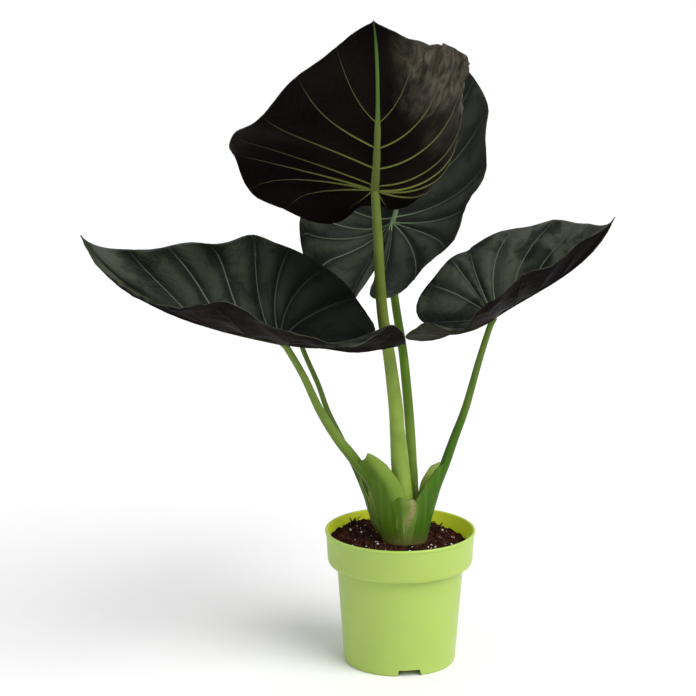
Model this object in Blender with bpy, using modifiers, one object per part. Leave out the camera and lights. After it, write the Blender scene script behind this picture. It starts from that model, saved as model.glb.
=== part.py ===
"""A potted shield alocasia: five long-stalked, shield-shaped leaves on one short stem base, in a plastic grow pot.

Metres, +Z up. The origin is on the pot's axis, on the plane that it stands on, and the plant faces -Y.
Each leaf is a stalk with its clasping sheath, and a blade. Both are worked out from a few sizes and angles.
"""

import math

import bmesh
import bpy
import numpy as np
from mathutils import Matrix, Vector

# Pot
POT_HEIGHT = 0.154
RIM_RADIUS = 0.085
BAND_RADIUS = 0.0820
BAND_HEIGHT = 0.040
BODY_TOP_RADIUS = 0.0715
BASE_RADIUS = 0.0625
WALL = 0.0018
FLOOR_LIFT = 0.0085
FOOT_RADIUS = 0.014
FOOT_RING_WIDTH = 0.0032
LIP_WIDTH = 0.0030
LIP_DEPTH = 0.0034
LIP_PROUD = 0.0012
EDGE_ROUND = 0.0008
FILLET = 0.0012
# Three notches on a round of 60 faces cut all alike, and a notch turned by 1.5 faces keeps clear of their edges
ROUND_STEPS = 60
NOTCH_COUNT = 3
NOTCH_TURN = math.radians(-81)
NOTCH_WIDTH_LOW = 0.030
NOTCH_WIDTH_TOP = 0.024
NOTCH_HEIGHT = 0.0078
NOTCH_REACH = 0.020
NOTCH_BELOW = 0.004

# Soil and the stem base in it
CLEARANCE = 0.0003
SOIL_LEVEL = 0.1405
SOIL_DIP = 0.0025
SOIL_DIP_WIDTH = 0.045
SOIL_SLOPE = 0.045
SOIL_LUMPS = 0.0014
# Waves of the soil's top: turns a metre along X and along Y, the phase, and the share of the height
LUMP_WAVES = ((310, 120, 0.3, 0.45), (-170, 290, 1.7, 0.41), (90, -350, 2.9, 0.36), (430, 260, 4.1, 0.25),
              (-380, 410, 5.3, 0.23))
SOIL_GAP = 0.0004
SOIL_RINGS = (0.0, 0.15, 0.32, 0.48, 0.62, 0.76, 0.89, 1.0)
STEM_CENTRE = Vector((0.0043, -0.0045, 0.0))
STEM_RADIUS = 0.0250
STEM_BOTTOM = 0.102
STEM_TOP = 0.1408
STEM_STEPS = 36
# Below the stem's top: the depth, and how much narrower it is there, past its ringed leaf scars
STEM_TAPER = ((0.0010, 0.0), (0.0040, 0.0006), (0.0068, 0.0016), (0.0100, 0.0012), (0.0260, 0.0050),
              (0.0348, 0.0120))
LEVEL_HEIGHT = 0.110

# Blade, whose lengths are shares of the distance from the stalk to the tip
BLADE_THICKNESS = 0.0009
MIDRIB_THICKNESS = 0.0040
RIB_THICKNESS = 0.0016
QUILT_HEIGHT = 0.012
WAVE_HEIGHT = 0.013
WAVES_PER_SIDE = 5.5
WAVE_FADE = 0.08
# The midrib has the thickness above on a blade of this length, and less on a shorter one
FULL_LENGTH = 0.276
MERGE_WITHIN = 0.00002
SIDE_BEND_START = -0.22
HALF_OUTLINE = (
    (1.0, 0.0), (0.955, 0.022), (0.88, 0.085), (0.76, 0.215), (0.60, 0.355), (0.42, 0.465),
    (0.22, 0.53), (0.02, 0.545), (-0.18, 0.50), (-0.36, 0.40), (-0.49, 0.27), (-0.535, 0.165),
    (-0.50, 0.09), (-0.40, 0.045), (-0.28, 0.012), (-0.22, 0.0),
)
# Side ribs: the share of the edge, from tip to notch, where each ends, and where it leaves the midrib
SIDE_RIBS = ((0.10, 0.40), (0.19, 0.26), (0.29, 0.14), (0.425, 0.03), (0.545, 0.0), (0.655, 0.0),
             (0.76, 0.0), (0.88, 0.0))
# A rib is a curve with one handle, at these shares of the way along the blade and out to the edge
RIB_SWEEP = 0.30
RIB_REACH = 0.75
COLUMNS_PER_FIELD = 3
RING_SHARES = (0.0, 0.10, 0.28, 0.48, 0.68, 0.86, 1.0)
STATIONS = (-0.5, 0.0, 0.5, 1.0)

# One row a leaf. Angles are in degrees, bends in degrees a blade length. Heading is the tip's compass
# direction from +X, rise its climb, tilts and curls are given at the stations, for the left and right halves.
LEAVES = {
    "front": dict(
        length=0.276, width=1.06, lobes=0.90, heading=-87.0, rise=40.8, roll=-8.1, turn=-8.1, twist=4.2,
        bend=(50.3, -61.2), back_bend=126.4, lobe_bends=(-87.5, -196.0),
        tilts=((-12, -1, -5, 5), (-11, 12, -12, 10)), curls=((294, 198, 207, 158), (-8, -12, -12, -155)),
        joint=(-0.0302, -0.060, 0.5521), wave_phase=0.6,
    ),
    "back": dict(
        length=0.265, width=0.92, lobes=1.04, heading=67.7, rise=45.3, roll=-7.6, turn=8.5, twist=-12.3,
        bend=(70.3, -108.3), back_bend=37.0, lobe_bends=(-115.6, 77.1),
        tilts=((8, -33, -35, 16), (-1, -3, -7, -17)), curls=((267, 262, 212, 187), (130, 95, 75, 57)),
        joint=(-0.0088, 0.120, 0.4835), wave_phase=1.9,
    ),
    "left": dict(
        length=0.2625, width=0.82, lobes=0.92, heading=210.3, rise=16.3, roll=-15.6, turn=-17.1, twist=-40.5,
        bend=(-5.0, 50.4), back_bend=20.0, lobe_bends=(-53.0, -8.4),
        tilts=((28, 20, 34, 16), (36, 10, 30, 31)), curls=((46, 20, 92, 44), (182, 198, 204, 192)),
        joint=(-0.1297, -0.088, 0.3908), wave_phase=3.0,
    ),
    "right": dict(
        length=0.187, width=1.04, lobes=0.95, heading=-17.7, rise=36.2, roll=25.8, turn=-23.8, twist=-9.5,
        bend=(-28.9, 57.8), back_bend=83.1, lobe_bends=(-34.6, -81.5),
        tilts=((47, 38, 35, 38), (39, 24, 21, 33)), curls=((-63, -55, -42, -28), (88, 31, 44, -46)),
        joint=(0.1014, -0.020, 0.4039), wave_phase=4.2,
    ),
    "small": dict(
        length=0.140, width=1.0, lobes=0.85, heading=118.0, rise=6.0, roll=3.0, turn=8.0, twist=6.0,
        bend=(-14.0, -24.0), back_bend=-16.0, lobe_bends=(0.0, 0.0),
        tilts=((14, 14, 14, 20), (14, 14, 14, 20)), curls=((20, 20, 20, 20), (20, 20, 20, 20)),
        joint=(-0.122, 0.072, 0.3800), wave_phase=5.1,
    ),
}

# The path has a row a height: x, y, z, half the width and half the thickness, in millimetres. The first row
# is the foot. The sheath has a row a height: z, its radius, the compass direction of its back, and how far
# its two wings reach round, in degrees. Its rim gives the sheath's top, from the right-hand wing's edge (-1),
# seen from its back, over the back (0) to the left-hand one's (1).
STALKS = {
    "front": dict(path=(
        (5.8, -14, 141.1, 12.4, 11.6), (4.4, -13.6, 179, 11.4, 11.2), (-0.2, -13.6, 226, 10.3, 10.0),
        (-2.1, -15.5, 250, 9.6, 9.4), (-4.2, -18, 273, 8.4, 8.3), (-6.2, -21, 302, 8.0, 7.9),
        (-13, -26, 356.3, 6.9, 6.7), (-22, -37, 417.4, 6.1, 6.0), (-27, -53, 500, 5.3, 5.2),
        (-30.2, -60, 552.1, 4.6, 4.6),
    )),
    "back": dict(path=(
        (10.5, 7.0, 141.1, 10.0, 3.6), (13.5, 10, 179, 9.0, 4.2), (13.5, 13, 219, 5.8, 5.6),
        (11, 24, 266, 5.6, 5.5), (6, 42, 323, 5.4, 5.2), (2, 56, 355.5, 5.1, 5.0),
        (-6, 79, 404.5, 4.7, 4.6), (-10.5, 102, 451, 4.3, 4.2), (-8.8, 120, 483.5, 3.9, 3.9),
    ), sheath=(
        (141.1, 15, 60, 62, 62), (180, 14, 60, 62, 62), (200, 12, 60, 60, 66), (215, 9, 60, 50, 50),
    ), rim=((-1, 200), (-0.6, 208), (0, 210), (0.6, 208), (1, 200))),
    "right": dict(path=(
        (25.4, -11, 141.1, 14.0, 2.8), (30, -10.7, 165, 13.0, 3.3), (36, -9.5, 190, 11.0, 4.2),
        (42.3, -9.5, 211.6, 8.0, 5.0), (50, -9.5, 234, 6.0, 5.5), (60, -10, 264, 5.1, 5.0),
        (72, -12, 299, 4.5, 4.4), (86, -15, 353, 3.9, 3.8), (96, -18, 388, 3.6, 3.5),
        (101.4, -20, 403.9, 3.4, 3.4),
    ), sheath=(
        (141.1, 22.3, 342, 70, 66), (165, 23, 343, 75, 62), (183, 22.5, 345, 82, 69), (195, 21.5, 346, 90, 76),
        (205, 20.5, 346, 95, 68), (223, 15, 346, 100, 66), (234, 10, 346, 95, 68),
    ), rim=((-1, 228), (-0.7, 232.5), (-0.4, 235), (0, 236), (0.45, 227), (0.62, 229.5), (0.8, 231), (1, 225))),
    "small": dict(path=(
        (-14.7, 7.0, 141.1, 8.5, 2.4), (-26, 8.5, 156, 8.5, 2.8), (-32, 10, 173, 7.5, 3.2),
        (-38.5, 13, 192.6, 6.0, 3.8), (-50, 19, 219, 4.2, 3.8), (-67, 33, 251, 3.6, 3.5),
        (-82, 43, 280, 3.3, 3.2), (-93, 53, 309, 3.1, 3.0), (-109, 63, 344, 2.9, 2.9), (-122, 72, 380, 2.8, 2.8),
    ), sheath=(
        (141.1, 16, 150, 38, 60), (166, 16, 150, 50, 60), (193, 14, 152, 50, 55), (215, 9, 155, 50, 60),
    ), rim=((-1, 200), (-0.6, 212), (0, 214), (0.6, 210), (1, 202))),
    "left": dict(path=(
        (-14.4, -16.0, 141.1, 11.0, 2.8), (-19.9, -17.2, 166, 11.5, 3.3), (-25, -17, 190, 11.0, 4.1),
        (-32.2, -16.8, 211, 9.8, 5.0), (-44.2, -18, 229, 8.2, 5.9), (-55.5, -22, 246, 6.6, 6.3),
        (-71.5, -34, 270, 5.6, 5.5), (-89.4, -48, 303.3, 4.8, 4.7), (-107.3, -66, 347.4, 4.1, 4.0),
        (-125, -83, 383.3, 3.7, 3.7), (-129.7, -88, 390.8, 3.6, 3.6),
    ), sheath=(
        (141.1, 22.3, 212, 60, 13), (166, 24, 212, 76, 15), (182, 24.5, 210.6, 84, 16), (197, 25, 210, 87, 18),
        (211, 25, 208, 88, 20), (228.6, 23, 207, 97, 20), (246, 22, 212, 96, 15), (253, 22, 214, 90, 12),
    ), rim=(
        (-1, 228), (-0.3, 238), (0.1, 240), (0.38, 242.5), (0.55, 246.5), (0.72, 251.5), (0.84, 251), (1, 243),
    )),
}
STALK_SIDES = 16
RINGS_BETWEEN_ROWS = 2
SHEATH_WALL = 0.0016
SHEATH_FADE = 12
SHEATH_COLUMNS = 12
SHEATH_ROWS = 8
SHEATH_LIFT = 0.0006
# A stalk with no sheath is straight across: its rows give a centre that is a kilometre off
NO_SHEATH = ((0, 1e6, 270, 0, 0),)

COLOURS = {
    "pot": (0.42, 0.62, 0.12, 0.45),
    "soil": (0.045, 0.022, 0.015, 0.95),
    "stem_base": (0.30, 0.36, 0.14, 0.55),
    "stalk": (0.20, 0.34, 0.06, 0.45),
    "blade": (0.018, 0.024, 0.017, 0.40),
}


def clear_scene():
    for old in list(bpy.data.objects):
        bpy.data.objects.remove(old)


def collection(name):
    made = bpy.data.collections.new(name)
    bpy.context.scene.collection.children.link(made)
    return made


def material(name, finish):
    red, green, blue, roughness = COLOURS[finish]
    made = bpy.data.materials.new(name)
    made.use_nodes = True
    shader = made.node_tree.nodes["Principled BSDF"]
    shader.inputs["Base Color"].default_value = (red, green, blue, 1.0)
    shader.inputs["Roughness"].default_value = roughness
    shader.inputs["Metallic"].default_value = 0.0
    return made


def mesh_object(name, bm, where, finish=None):
    mesh = bpy.data.meshes.new(name)
    bm.to_mesh(mesh)
    bm.free()
    made = bpy.data.objects.new(name, mesh)
    where.objects.link(made)
    if finish:
        mesh.materials.append(material(name, finish))
        smooth(mesh)
    else:
        made.hide_render = True
        made.display_type = "WIRE"
    return made


def turned(bm, profile, steps=ROUND_STEPS):
    """Spins a closed profile of (radius, height) points round Z."""
    points = [bm.verts.new((r, 0.0, z)) for r, z in profile]
    edges = [bm.edges.new(pair) for pair in zip(points, points[1:] + points[:1])]
    bmesh.ops.spin(bm, geom=points + edges, cent=(0, 0, 0), axis=(0, 0, 1), angle=2 * math.pi,
                   steps=steps, use_merge=True)
    bmesh.ops.remove_doubles(bm, verts=bm.verts, dist=1e-6)
    bmesh.ops.recalc_face_normals(bm, faces=bm.faces)


def combine(target, other, operation, tangled=False):
    """Joins the other's shape to the target or cuts it out, for good, and keeps the largest piece.

    Tangled shapes are those whose own faces may cross, as a swollen copy's do in its folds.
    """
    modifier = target.modifiers.new("combine", "BOOLEAN")
    modifier.object = other
    modifier.operation = operation
    modifier.use_self = tangled
    graph = bpy.context.evaluated_depsgraph_get()
    result = bpy.data.meshes.new_from_object(target.evaluated_get(graph))
    target.modifiers.remove(modifier)
    target.data = result
    keep_largest(result)
    smooth(result)


def smooth(mesh):
    mesh.shade_smooth()
    mesh.set_sharp_from_angle(angle=math.radians(40))


def keep_largest(mesh):
    """Drops the loose scraps that a cut leaves."""
    bm = bmesh.new()
    bm.from_mesh(mesh)
    left, pieces = set(bm.verts), []
    while left:
        reached, edge = set(), [left.pop()]
        while edge:
            vert = edge.pop()
            reached.add(vert)
            for link in vert.link_edges:
                other = link.other_vert(vert)
                if other in left:
                    left.remove(other)
                    edge.append(other)
        pieces.append(reached)
    pieces.sort(key=len)
    for piece in pieces[:-1]:
        bmesh.ops.delete(bm, geom=list(piece), context="VERTS")
    bm.to_mesh(mesh)
    bm.free()


def grown(source, by, where):
    """A closed copy of an object, larger all round by a clearance, to cut its neighbours with."""
    graph = bpy.context.evaluated_depsgraph_get()
    bm = bmesh.new()
    bm.from_mesh(source.evaluated_get(graph).to_mesh())
    bm.normal_update()
    shifts = [vert.normal * by * max(1.0, vert.calc_shell_factor()) for vert in bm.verts]
    for vert, shift in zip(bm.verts, shifts):
        vert.co += shift
    return mesh_object("clear_of_" + source.name, bm, where)


# Pot


def inner_wall():
    """The pot's inside from the edge of its floor up to the collar, one wall inside the outer face."""
    floor_top = FLOOR_LIFT + WALL
    ledge = POT_HEIGHT - BAND_HEIGHT + WALL
    foot, body, collar = (radius - WALL for radius in (BASE_RADIUS, BODY_TOP_RADIUS, BAND_RADIUS))
    return (
        (foot - FILLET, floor_top), (foot, floor_top + FILLET),
        (body, ledge - EDGE_ROUND), (body + EDGE_ROUND, ledge),
        (collar - 2.5 * FILLET, ledge), (collar, ledge + 3 * FILLET),
    )


def pot_profile():
    """The wall from the inner lip down the outside, under the raised floor and its middle foot, and up inside."""
    floor_top = FLOOR_LIFT + WALL
    step = POT_HEIGHT - BAND_HEIGHT
    ring = BASE_RADIUS - FOOT_RING_WIDTH
    return (
        (RIM_RADIUS - LIP_WIDTH, POT_HEIGHT - EDGE_ROUND), (RIM_RADIUS - LIP_WIDTH + EDGE_ROUND, POT_HEIGHT),
        (RIM_RADIUS - EDGE_ROUND, POT_HEIGHT), (RIM_RADIUS, POT_HEIGHT - EDGE_ROUND),
        (RIM_RADIUS, POT_HEIGHT - LIP_DEPTH + EDGE_ROUND), (RIM_RADIUS - LIP_PROUD, POT_HEIGHT - LIP_DEPTH),
        (BAND_RADIUS, step + 5 * FILLET), (BAND_RADIUS - FILLET, step + 2 * FILLET),
        (BAND_RADIUS - 3.5 * FILLET, step),
        (BODY_TOP_RADIUS + EDGE_ROUND, step), (BODY_TOP_RADIUS, step - FILLET),
        (BASE_RADIUS + EDGE_ROUND, 2.5 * FILLET), (BASE_RADIUS, EDGE_ROUND), (BASE_RADIUS - EDGE_ROUND, 0.0),
        (ring, 0.0), (ring, FLOOR_LIFT - EDGE_ROUND), (ring - FILLET, FLOOR_LIFT),
        (FOOT_RADIUS + FILLET, FLOOR_LIFT), (FOOT_RADIUS, FLOOR_LIFT - FILLET), (FOOT_RADIUS, 0.0), (0.0, 0.0),
        (0.0, floor_top), *inner_wall(),
    )


def make_pot(parts, cutters):
    bm = bmesh.new()
    turned(bm, pot_profile())
    pot = mesh_object("pot", bm, parts, "pot")
    for number in range(NOTCH_COUNT):
        turn = NOTCH_TURN + 2 * math.pi * number / NOTCH_COUNT
        combine(pot, notch_cutter(turn, cutters), "DIFFERENCE")
    return pot


def notch_cutter(turn, cutters):
    """A wedge that is wider at the ground, across the foot ring."""
    bm = bmesh.new()
    bmesh.ops.create_cube(bm, size=1.0)
    for vert in bm.verts:
        low = vert.co.z < 0
        width = NOTCH_WIDTH_LOW if low else NOTCH_WIDTH_TOP
        height = -NOTCH_BELOW if low else NOTCH_HEIGHT
        vert.co = Vector((BASE_RADIUS + vert.co.x * NOTCH_REACH, vert.co.y * width, height))
    bmesh.ops.rotate(bm, verts=bm.verts, cent=(0, 0, 0), matrix=Matrix.Rotation(turn, 3, "Z"))
    return mesh_object("notch", bm, cutters)


# Soil and stem base


def lumps(x, y):
    """Uneven potting soil, as a sum of a few waves of unlike length and direction."""
    return sum(size * math.sin(a * x + b * y + phase) for a, b, phase, size in LUMP_WAVES)


def soil_height(x, y):
    """The soil's level: higher on the left than on the right, with a shallow dip round the stem."""
    from_stem = math.hypot(x - STEM_CENTRE.x, y - STEM_CENTRE.y)
    dip = SOIL_DIP * math.exp(-((from_stem / SOIL_DIP_WIDTH) ** 2))
    return SOIL_LEVEL - dip - SOIL_SLOPE * x + SOIL_LUMPS * lumps(x, y)


def make_soil(parts, stem_cutter):
    """The filling: it follows the pot's inner wall at a clearance, and its top is uneven."""
    wall = [(radius - SOIL_GAP, height + SOIL_GAP) for radius, height in inner_wall()]
    lip_radius, lip_height = pot_profile()[0]
    low_radius, low_height = inner_wall()[-1]
    share = (SOIL_LEVEL - low_height) / (lip_height - low_height)
    edge = low_radius + share * (lip_radius - low_radius) - SOIL_GAP
    top = [(edge * share, SOIL_LEVEL) for share in SOIL_RINGS]
    bm = bmesh.new()
    turned(bm, [(0.0, wall[0][1]), *wall, *reversed(top)])
    for vert in bm.verts:
        if vert.co.z > SOIL_LEVEL - 1e-5:
            vert.co.z = soil_height(vert.co.x, vert.co.y)
    soil = mesh_object("soil", bm, parts, "soil")
    combine(soil, stem_cutter, "DIFFERENCE")
    return soil


def make_stem_base(parts):
    """The short root crown: it tapers down into the soil and ends in a level top that the sheaths stand on."""
    side = [(STEM_RADIUS - narrower, STEM_TOP - depth) for depth, narrower in STEM_TAPER]
    bm = bmesh.new()
    turned(bm, [(0.0, STEM_BOTTOM), (0.0, STEM_TOP), (STEM_RADIUS - EDGE_ROUND, STEM_TOP), *side], steps=STEM_STEPS)
    bmesh.ops.translate(bm, verts=bm.verts, vec=STEM_CENTRE)
    return mesh_object("stem_base", bm, parts, "stem_base")


# Blades


def smooth_curve(rows, share):
    """Points on a smooth curve through the rows, at shares 0 to 1 of the rows' count."""
    rows = np.asarray(rows, float)
    ends = np.vstack([2 * rows[0] - rows[1], rows, 2 * rows[-1] - rows[-2]])
    place = np.clip(np.asarray(share, float), 0, 1) * (len(rows) - 1)
    index = np.minimum(place.astype(int), len(rows) - 2)
    t = (place - index)[:, None]
    a, b, c, d = (ends[index + k] for k in range(4))
    return 0.5 * (2 * b + (c - a) * t + (2 * a - 5 * b + 4 * c - d) * t**2 + (3 * b - a - 3 * c + d) * t**3)


def between_stations(u, values):
    """A value given at the four stations along the blade, smoothly between them."""
    padded = np.array([values[0], *values, values[-1]], float)
    place = np.clip((u - STATIONS[0]) / (STATIONS[1] - STATIONS[0]), 0, 3)
    index = np.minimum(place.astype(int), 2)
    t = place - index
    a, b, c, d = (padded[index + k] for k in range(4))
    return 0.5 * (2 * b + (c - a) * t + (2 * a - 5 * b + 4 * c - d) * t**2 + (3 * b - a - 3 * c + d) * t**3)


def outline_at(edge_share, lobes):
    """Points of the flat half outline at shares of its own length, from the tip to the notch."""
    fine = smooth_curve(HALF_OUTLINE, np.linspace(0, 1, 400))
    fine[fine[:, 0] < 0, 0] *= lobes
    run = np.concatenate([[0], np.cumsum(np.linalg.norm(np.diff(fine, axis=0), axis=1))])
    run /= run[-1]
    return np.stack([np.interp(edge_share, run, fine[:, k]) for k in range(2)], axis=1)


def flat_point(edge_share, ring, lobes):
    """The flat (u, v) of a point on the ray that ends at edge_share, at the share ring of the ray's length."""
    edge = outline_at(edge_share, lobes)
    ends, starts = zip((0.0, 1.0), *SIDE_RIBS, (1.0, 0.0))
    start = np.interp(edge_share, ends, starts)
    sweep_u = start + RIB_SWEEP * (edge[:, 0] - start)
    sweep_v = edge[:, 1] * RIB_REACH
    u = (1 - ring) ** 2 * start + 2 * ring * (1 - ring) * sweep_u + ring**2 * edge[:, 0]
    v = 2 * ring * (1 - ring) * sweep_v + ring**2 * edge[:, 1]
    return u, v


def spine(leaf, side):
    """The blade's middle line, its side direction and its upper normal, along u, for one half."""
    step = 0.01
    us = np.arange(-0.75, 1.105, step)
    ahead, behind = np.maximum(us, 0), np.minimum(us, 0)
    rise = leaf["rise"] + leaf["bend"][0] * ahead + leaf["bend"][1] * ahead**2 + leaf["back_bend"] * behind
    rise = np.radians(rise + leaf["lobe_bends"][side] * np.minimum(0, us - SIDE_BEND_START))
    heading = np.radians(leaf["heading"] + leaf["turn"] * ahead)
    along = np.stack([np.cos(rise) * np.cos(heading), np.cos(rise) * np.sin(heading), np.sin(rise)], axis=1)
    steps = 0.5 * (along[1:] + along[:-1]) * step * leaf["length"]
    place = np.vstack([np.zeros(3), np.cumsum(steps, axis=0)])
    place += np.array(leaf["joint"]) - place[np.argmin(abs(us))]
    level = np.stack([-np.sin(heading), np.cos(heading), 0 * heading], axis=1)
    upright = np.cross(along, level)
    roll = np.radians(leaf["roll"] + leaf["twist"] * us)[:, None]
    return us, place, np.cos(roll) * level + np.sin(roll) * upright, np.cos(roll) * upright - np.sin(roll) * level


def bent(leaf, side, u, v):
    """Where flat points of one half lie in space, and the blade's upper normal there."""
    us, place, across, upper = spine(leaf, side)

    def at_u(rows):
        return np.stack([np.interp(u, us, rows[:, k]) for k in range(3)], axis=1)

    tilt = np.radians(between_stations(u, leaf["tilts"][side]))
    curl = np.radians(between_stations(u, leaf["curls"][side]))
    run = np.linspace(0, 1, 9)[None, :] * (v * leaf["width"])[:, None]
    angle = tilt[:, None] + curl[:, None] * run
    out = np.sum(0.5 * (np.cos(angle[:, 1:]) + np.cos(angle[:, :-1])) * np.diff(run, axis=1), axis=1)
    up = np.sum(0.5 * (np.sin(angle[:, 1:]) + np.sin(angle[:, :-1])) * np.diff(run, axis=1), axis=1)
    sign = 1.0 if side == 0 else -1.0
    outward, upward = sign * at_u(across), at_u(upper)
    size = leaf["length"]
    normal = np.cos(angle[:, -1])[:, None] * upward - np.sin(angle[:, -1])[:, None] * outward
    return at_u(place) + size * (out[:, None] * outward + up[:, None] * upward), normal


def rib_columns():
    """Shares of the edge where the mesh has a ray, and whether a rib runs along that ray."""
    ribs = [0.0, *(end for end, _ in SIDE_RIBS), 1.0]
    shares, on_rib = [], []
    for low, high in zip(ribs, ribs[1:]):
        for k in range(COLUMNS_PER_FIELD):
            shares.append(low + (high - low) * k / COLUMNS_PER_FIELD)
            on_rib.append(k == 0)
    return np.array(shares + [1.0]), np.array(on_rib + [True])


def relief(leaf, edge_share, ring):
    """The blade's swelling between its side ribs and the waves of its edge, along the normal."""
    ribs = np.array([0.0, *(end for end, _ in SIDE_RIBS), 1.0])
    field = np.clip(np.searchsorted(ribs, edge_share, side="right") - 1, 0, len(ribs) - 2)
    across = (edge_share - ribs[field]) / (ribs[field + 1] - ribs[field])
    swell = QUILT_HEIGHT * np.sin(np.pi * across) ** 2 * np.sin(np.pi * np.clip(ring, 0, 1) ** 0.8)
    fade = np.clip(edge_share / WAVE_FADE, 0, 1) * np.clip((1 - edge_share) / WAVE_FADE, 0, 1)
    wave = WAVE_HEIGHT * np.sin(2 * np.pi * WAVES_PER_SIDE * edge_share + leaf["wave_phase"]) * ring**3 * fade
    return leaf["length"] * (swell + wave)


def make_blade(name, leaf, where, finish, swell=0.0):
    """One sheet, laid out on a grid whose columns are rays from the midrib to the edge, then given its thickness.

    The swell is a clearance that is added to both of its faces.
    """
    shares, on_rib = rib_columns()
    columns, rings = len(shares) - 1, len(RING_SHARES) - 1
    bm = bmesh.new()
    layer = bm.verts.layers.float.new("depth")
    bmesh.ops.create_grid(bm, x_segments=2 * columns, y_segments=rings, size=1.0)
    verts = list(bm.verts)
    grid = np.array([vert.co for vert in verts])
    column = np.rint(grid[:, 0] * columns).astype(int)
    ring = np.array(RING_SHARES)[np.rint((grid[:, 1] + 1) / 2 * rings).astype(int)]
    edge_share = shares[abs(column)]
    u, v = flat_point(edge_share, ring, leaf["lobes"])
    lift = relief(leaf, edge_share, ring)
    for side, chosen in enumerate((column <= 0, column > 0)):
        place, normal = bent(leaf, side, u[chosen], v[chosen])
        place += normal * lift[chosen][:, None]
        for vert, point in zip(np.array(verts)[chosen], place):
            vert.co = point
    deepest = MIDRIB_THICKNESS * (leaf["length"] / FULL_LENGTH) ** 0.5
    rib_depth = np.where(on_rib[abs(column)], RIB_THICKNESS, BLADE_THICKNESS)
    depth = BLADE_THICKNESS + (rib_depth - BLADE_THICKNESS) * (1 - ring)
    on_midrib = ring == 0
    depth[on_midrib] = BLADE_THICKNESS + (deepest - BLADE_THICKNESS) * np.clip(1 - u[on_midrib], 0, 1) ** 0.8
    deepest += 2 * swell
    for vert, value in zip(verts, depth + 2 * swell):
        vert[layer] = value / deepest
    bmesh.ops.remove_doubles(bm, verts=bm.verts, dist=MERGE_WITHIN)
    bmesh.ops.dissolve_degenerate(bm, edges=bm.edges, dist=1e-5)
    bmesh.ops.triangulate(bm, faces=bm.faces)
    if sum((face.normal.dot(Vector(upper_side(leaf))) * face.calc_area() for face in bm.faces)) < 0:
        bmesh.ops.reverse_faces(bm, faces=bm.faces)
    bm.normal_update()
    for vert, shift in [(vert, vert.normal * swell) for vert in bm.verts]:
        vert.co += shift
    factors = [vert[layer] for vert in bm.verts]
    blade = mesh_object(name, bm, where, finish)
    group = blade.vertex_groups.new(name="depth")
    for index, factor in enumerate(factors):
        group.add([index], min(1.0, factor), "REPLACE")
    solid = blade.modifiers.new("thickness", "SOLIDIFY")
    solid.thickness = deepest
    solid.offset = -1.0
    solid.vertex_group = group.name
    return blade


def upper_side(leaf):
    """The upper normal at the joint of stalk and blade."""
    us, _, _, upper = spine(leaf, 0)
    return upper[np.argmin(abs(us))]


# Stalks


def path_at(name, z):
    """The middle of a stalk at heights in its sheath's range, in millimetres."""
    rows = np.array(STALKS[name]["path"], float)
    dense = smooth_curve(rows, np.linspace(0, 1, 200))
    return np.stack([np.interp(z, dense[:, 2], dense[:, k]) for k in range(2)], axis=1)


def stalk_rings(name):
    """Rings of a stalk from its foot to the blade: level at the foot, then square to the stalk."""
    rows = np.array(STALKS[name]["path"], float)
    dense = smooth_curve(rows, np.linspace(0, 1, (len(rows) - 1) * RINGS_BETWEEN_ROWS + 1))
    place = dense[:, :3] / 1000
    along = np.gradient(place, axis=0)
    along /= np.linalg.norm(along, axis=1)[:, None]
    level = np.clip(1 - (place[:, 2] - STEM_TOP) / LEVEL_HEIGHT, 0, 1)[:, None]
    along = along * (1 - level) + np.array([0, 0, 1.0]) * level
    along /= np.linalg.norm(along, axis=1)[:, None]
    sheath = np.array(STALKS[name].get("sheath", NO_SHEATH), float)
    top = sheath[-1, 0]
    curve = np.interp(dense[:, 2], (*sheath[:, 0], top + SHEATH_FADE), (*(1000 / sheath[:, 1]), 0.0))
    backs = np.radians(np.interp(dense[:, 2], sheath[:, 0], sheath[:, 2]))
    turn = np.linspace(0, 2 * math.pi, STALK_SIDES, endpoint=False)
    rings = []
    for spot, direction, row, bend, back in zip(place, along, dense, np.maximum(curve, 1e-3), backs):
        out = np.array([math.cos(back), math.sin(back), 0.0])
        out -= direction * out.dot(direction)
        out /= np.linalg.norm(out)
        across = np.cross(direction, out)
        angle = bend * row[3] / 1000 * np.cos(turn)
        rise = row[4] / 1000 * np.sin(turn)
        outward = (np.cos(angle) - 1) / bend + rise * np.cos(angle)
        sideways = np.sin(angle) / bend + rise * np.sin(angle)
        rings.append(spot + outward[:, None] * out + sideways[:, None] * across)
    return rings


def make_column(name, where):
    """A loft through the stalk's rings, closed at both ends."""
    bm = bmesh.new()
    loops = [[bm.verts.new(point) for point in ring] for ring in stalk_rings(name)]
    for low, high in zip(loops, loops[1:]):
        for k, corner in enumerate(low):
            after = (k + 1) % len(low)
            bm.faces.new((corner, low[after], high[after], high[k]))
    for loop in (loops[0], loops[-1]):
        bm.faces.new(loop)
    bmesh.ops.triangulate(bm, faces=bm.faces)
    bmesh.ops.recalc_face_normals(bm, faces=bm.faces)
    return mesh_object("stalk_" + name, bm, where, "stalk")


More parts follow.
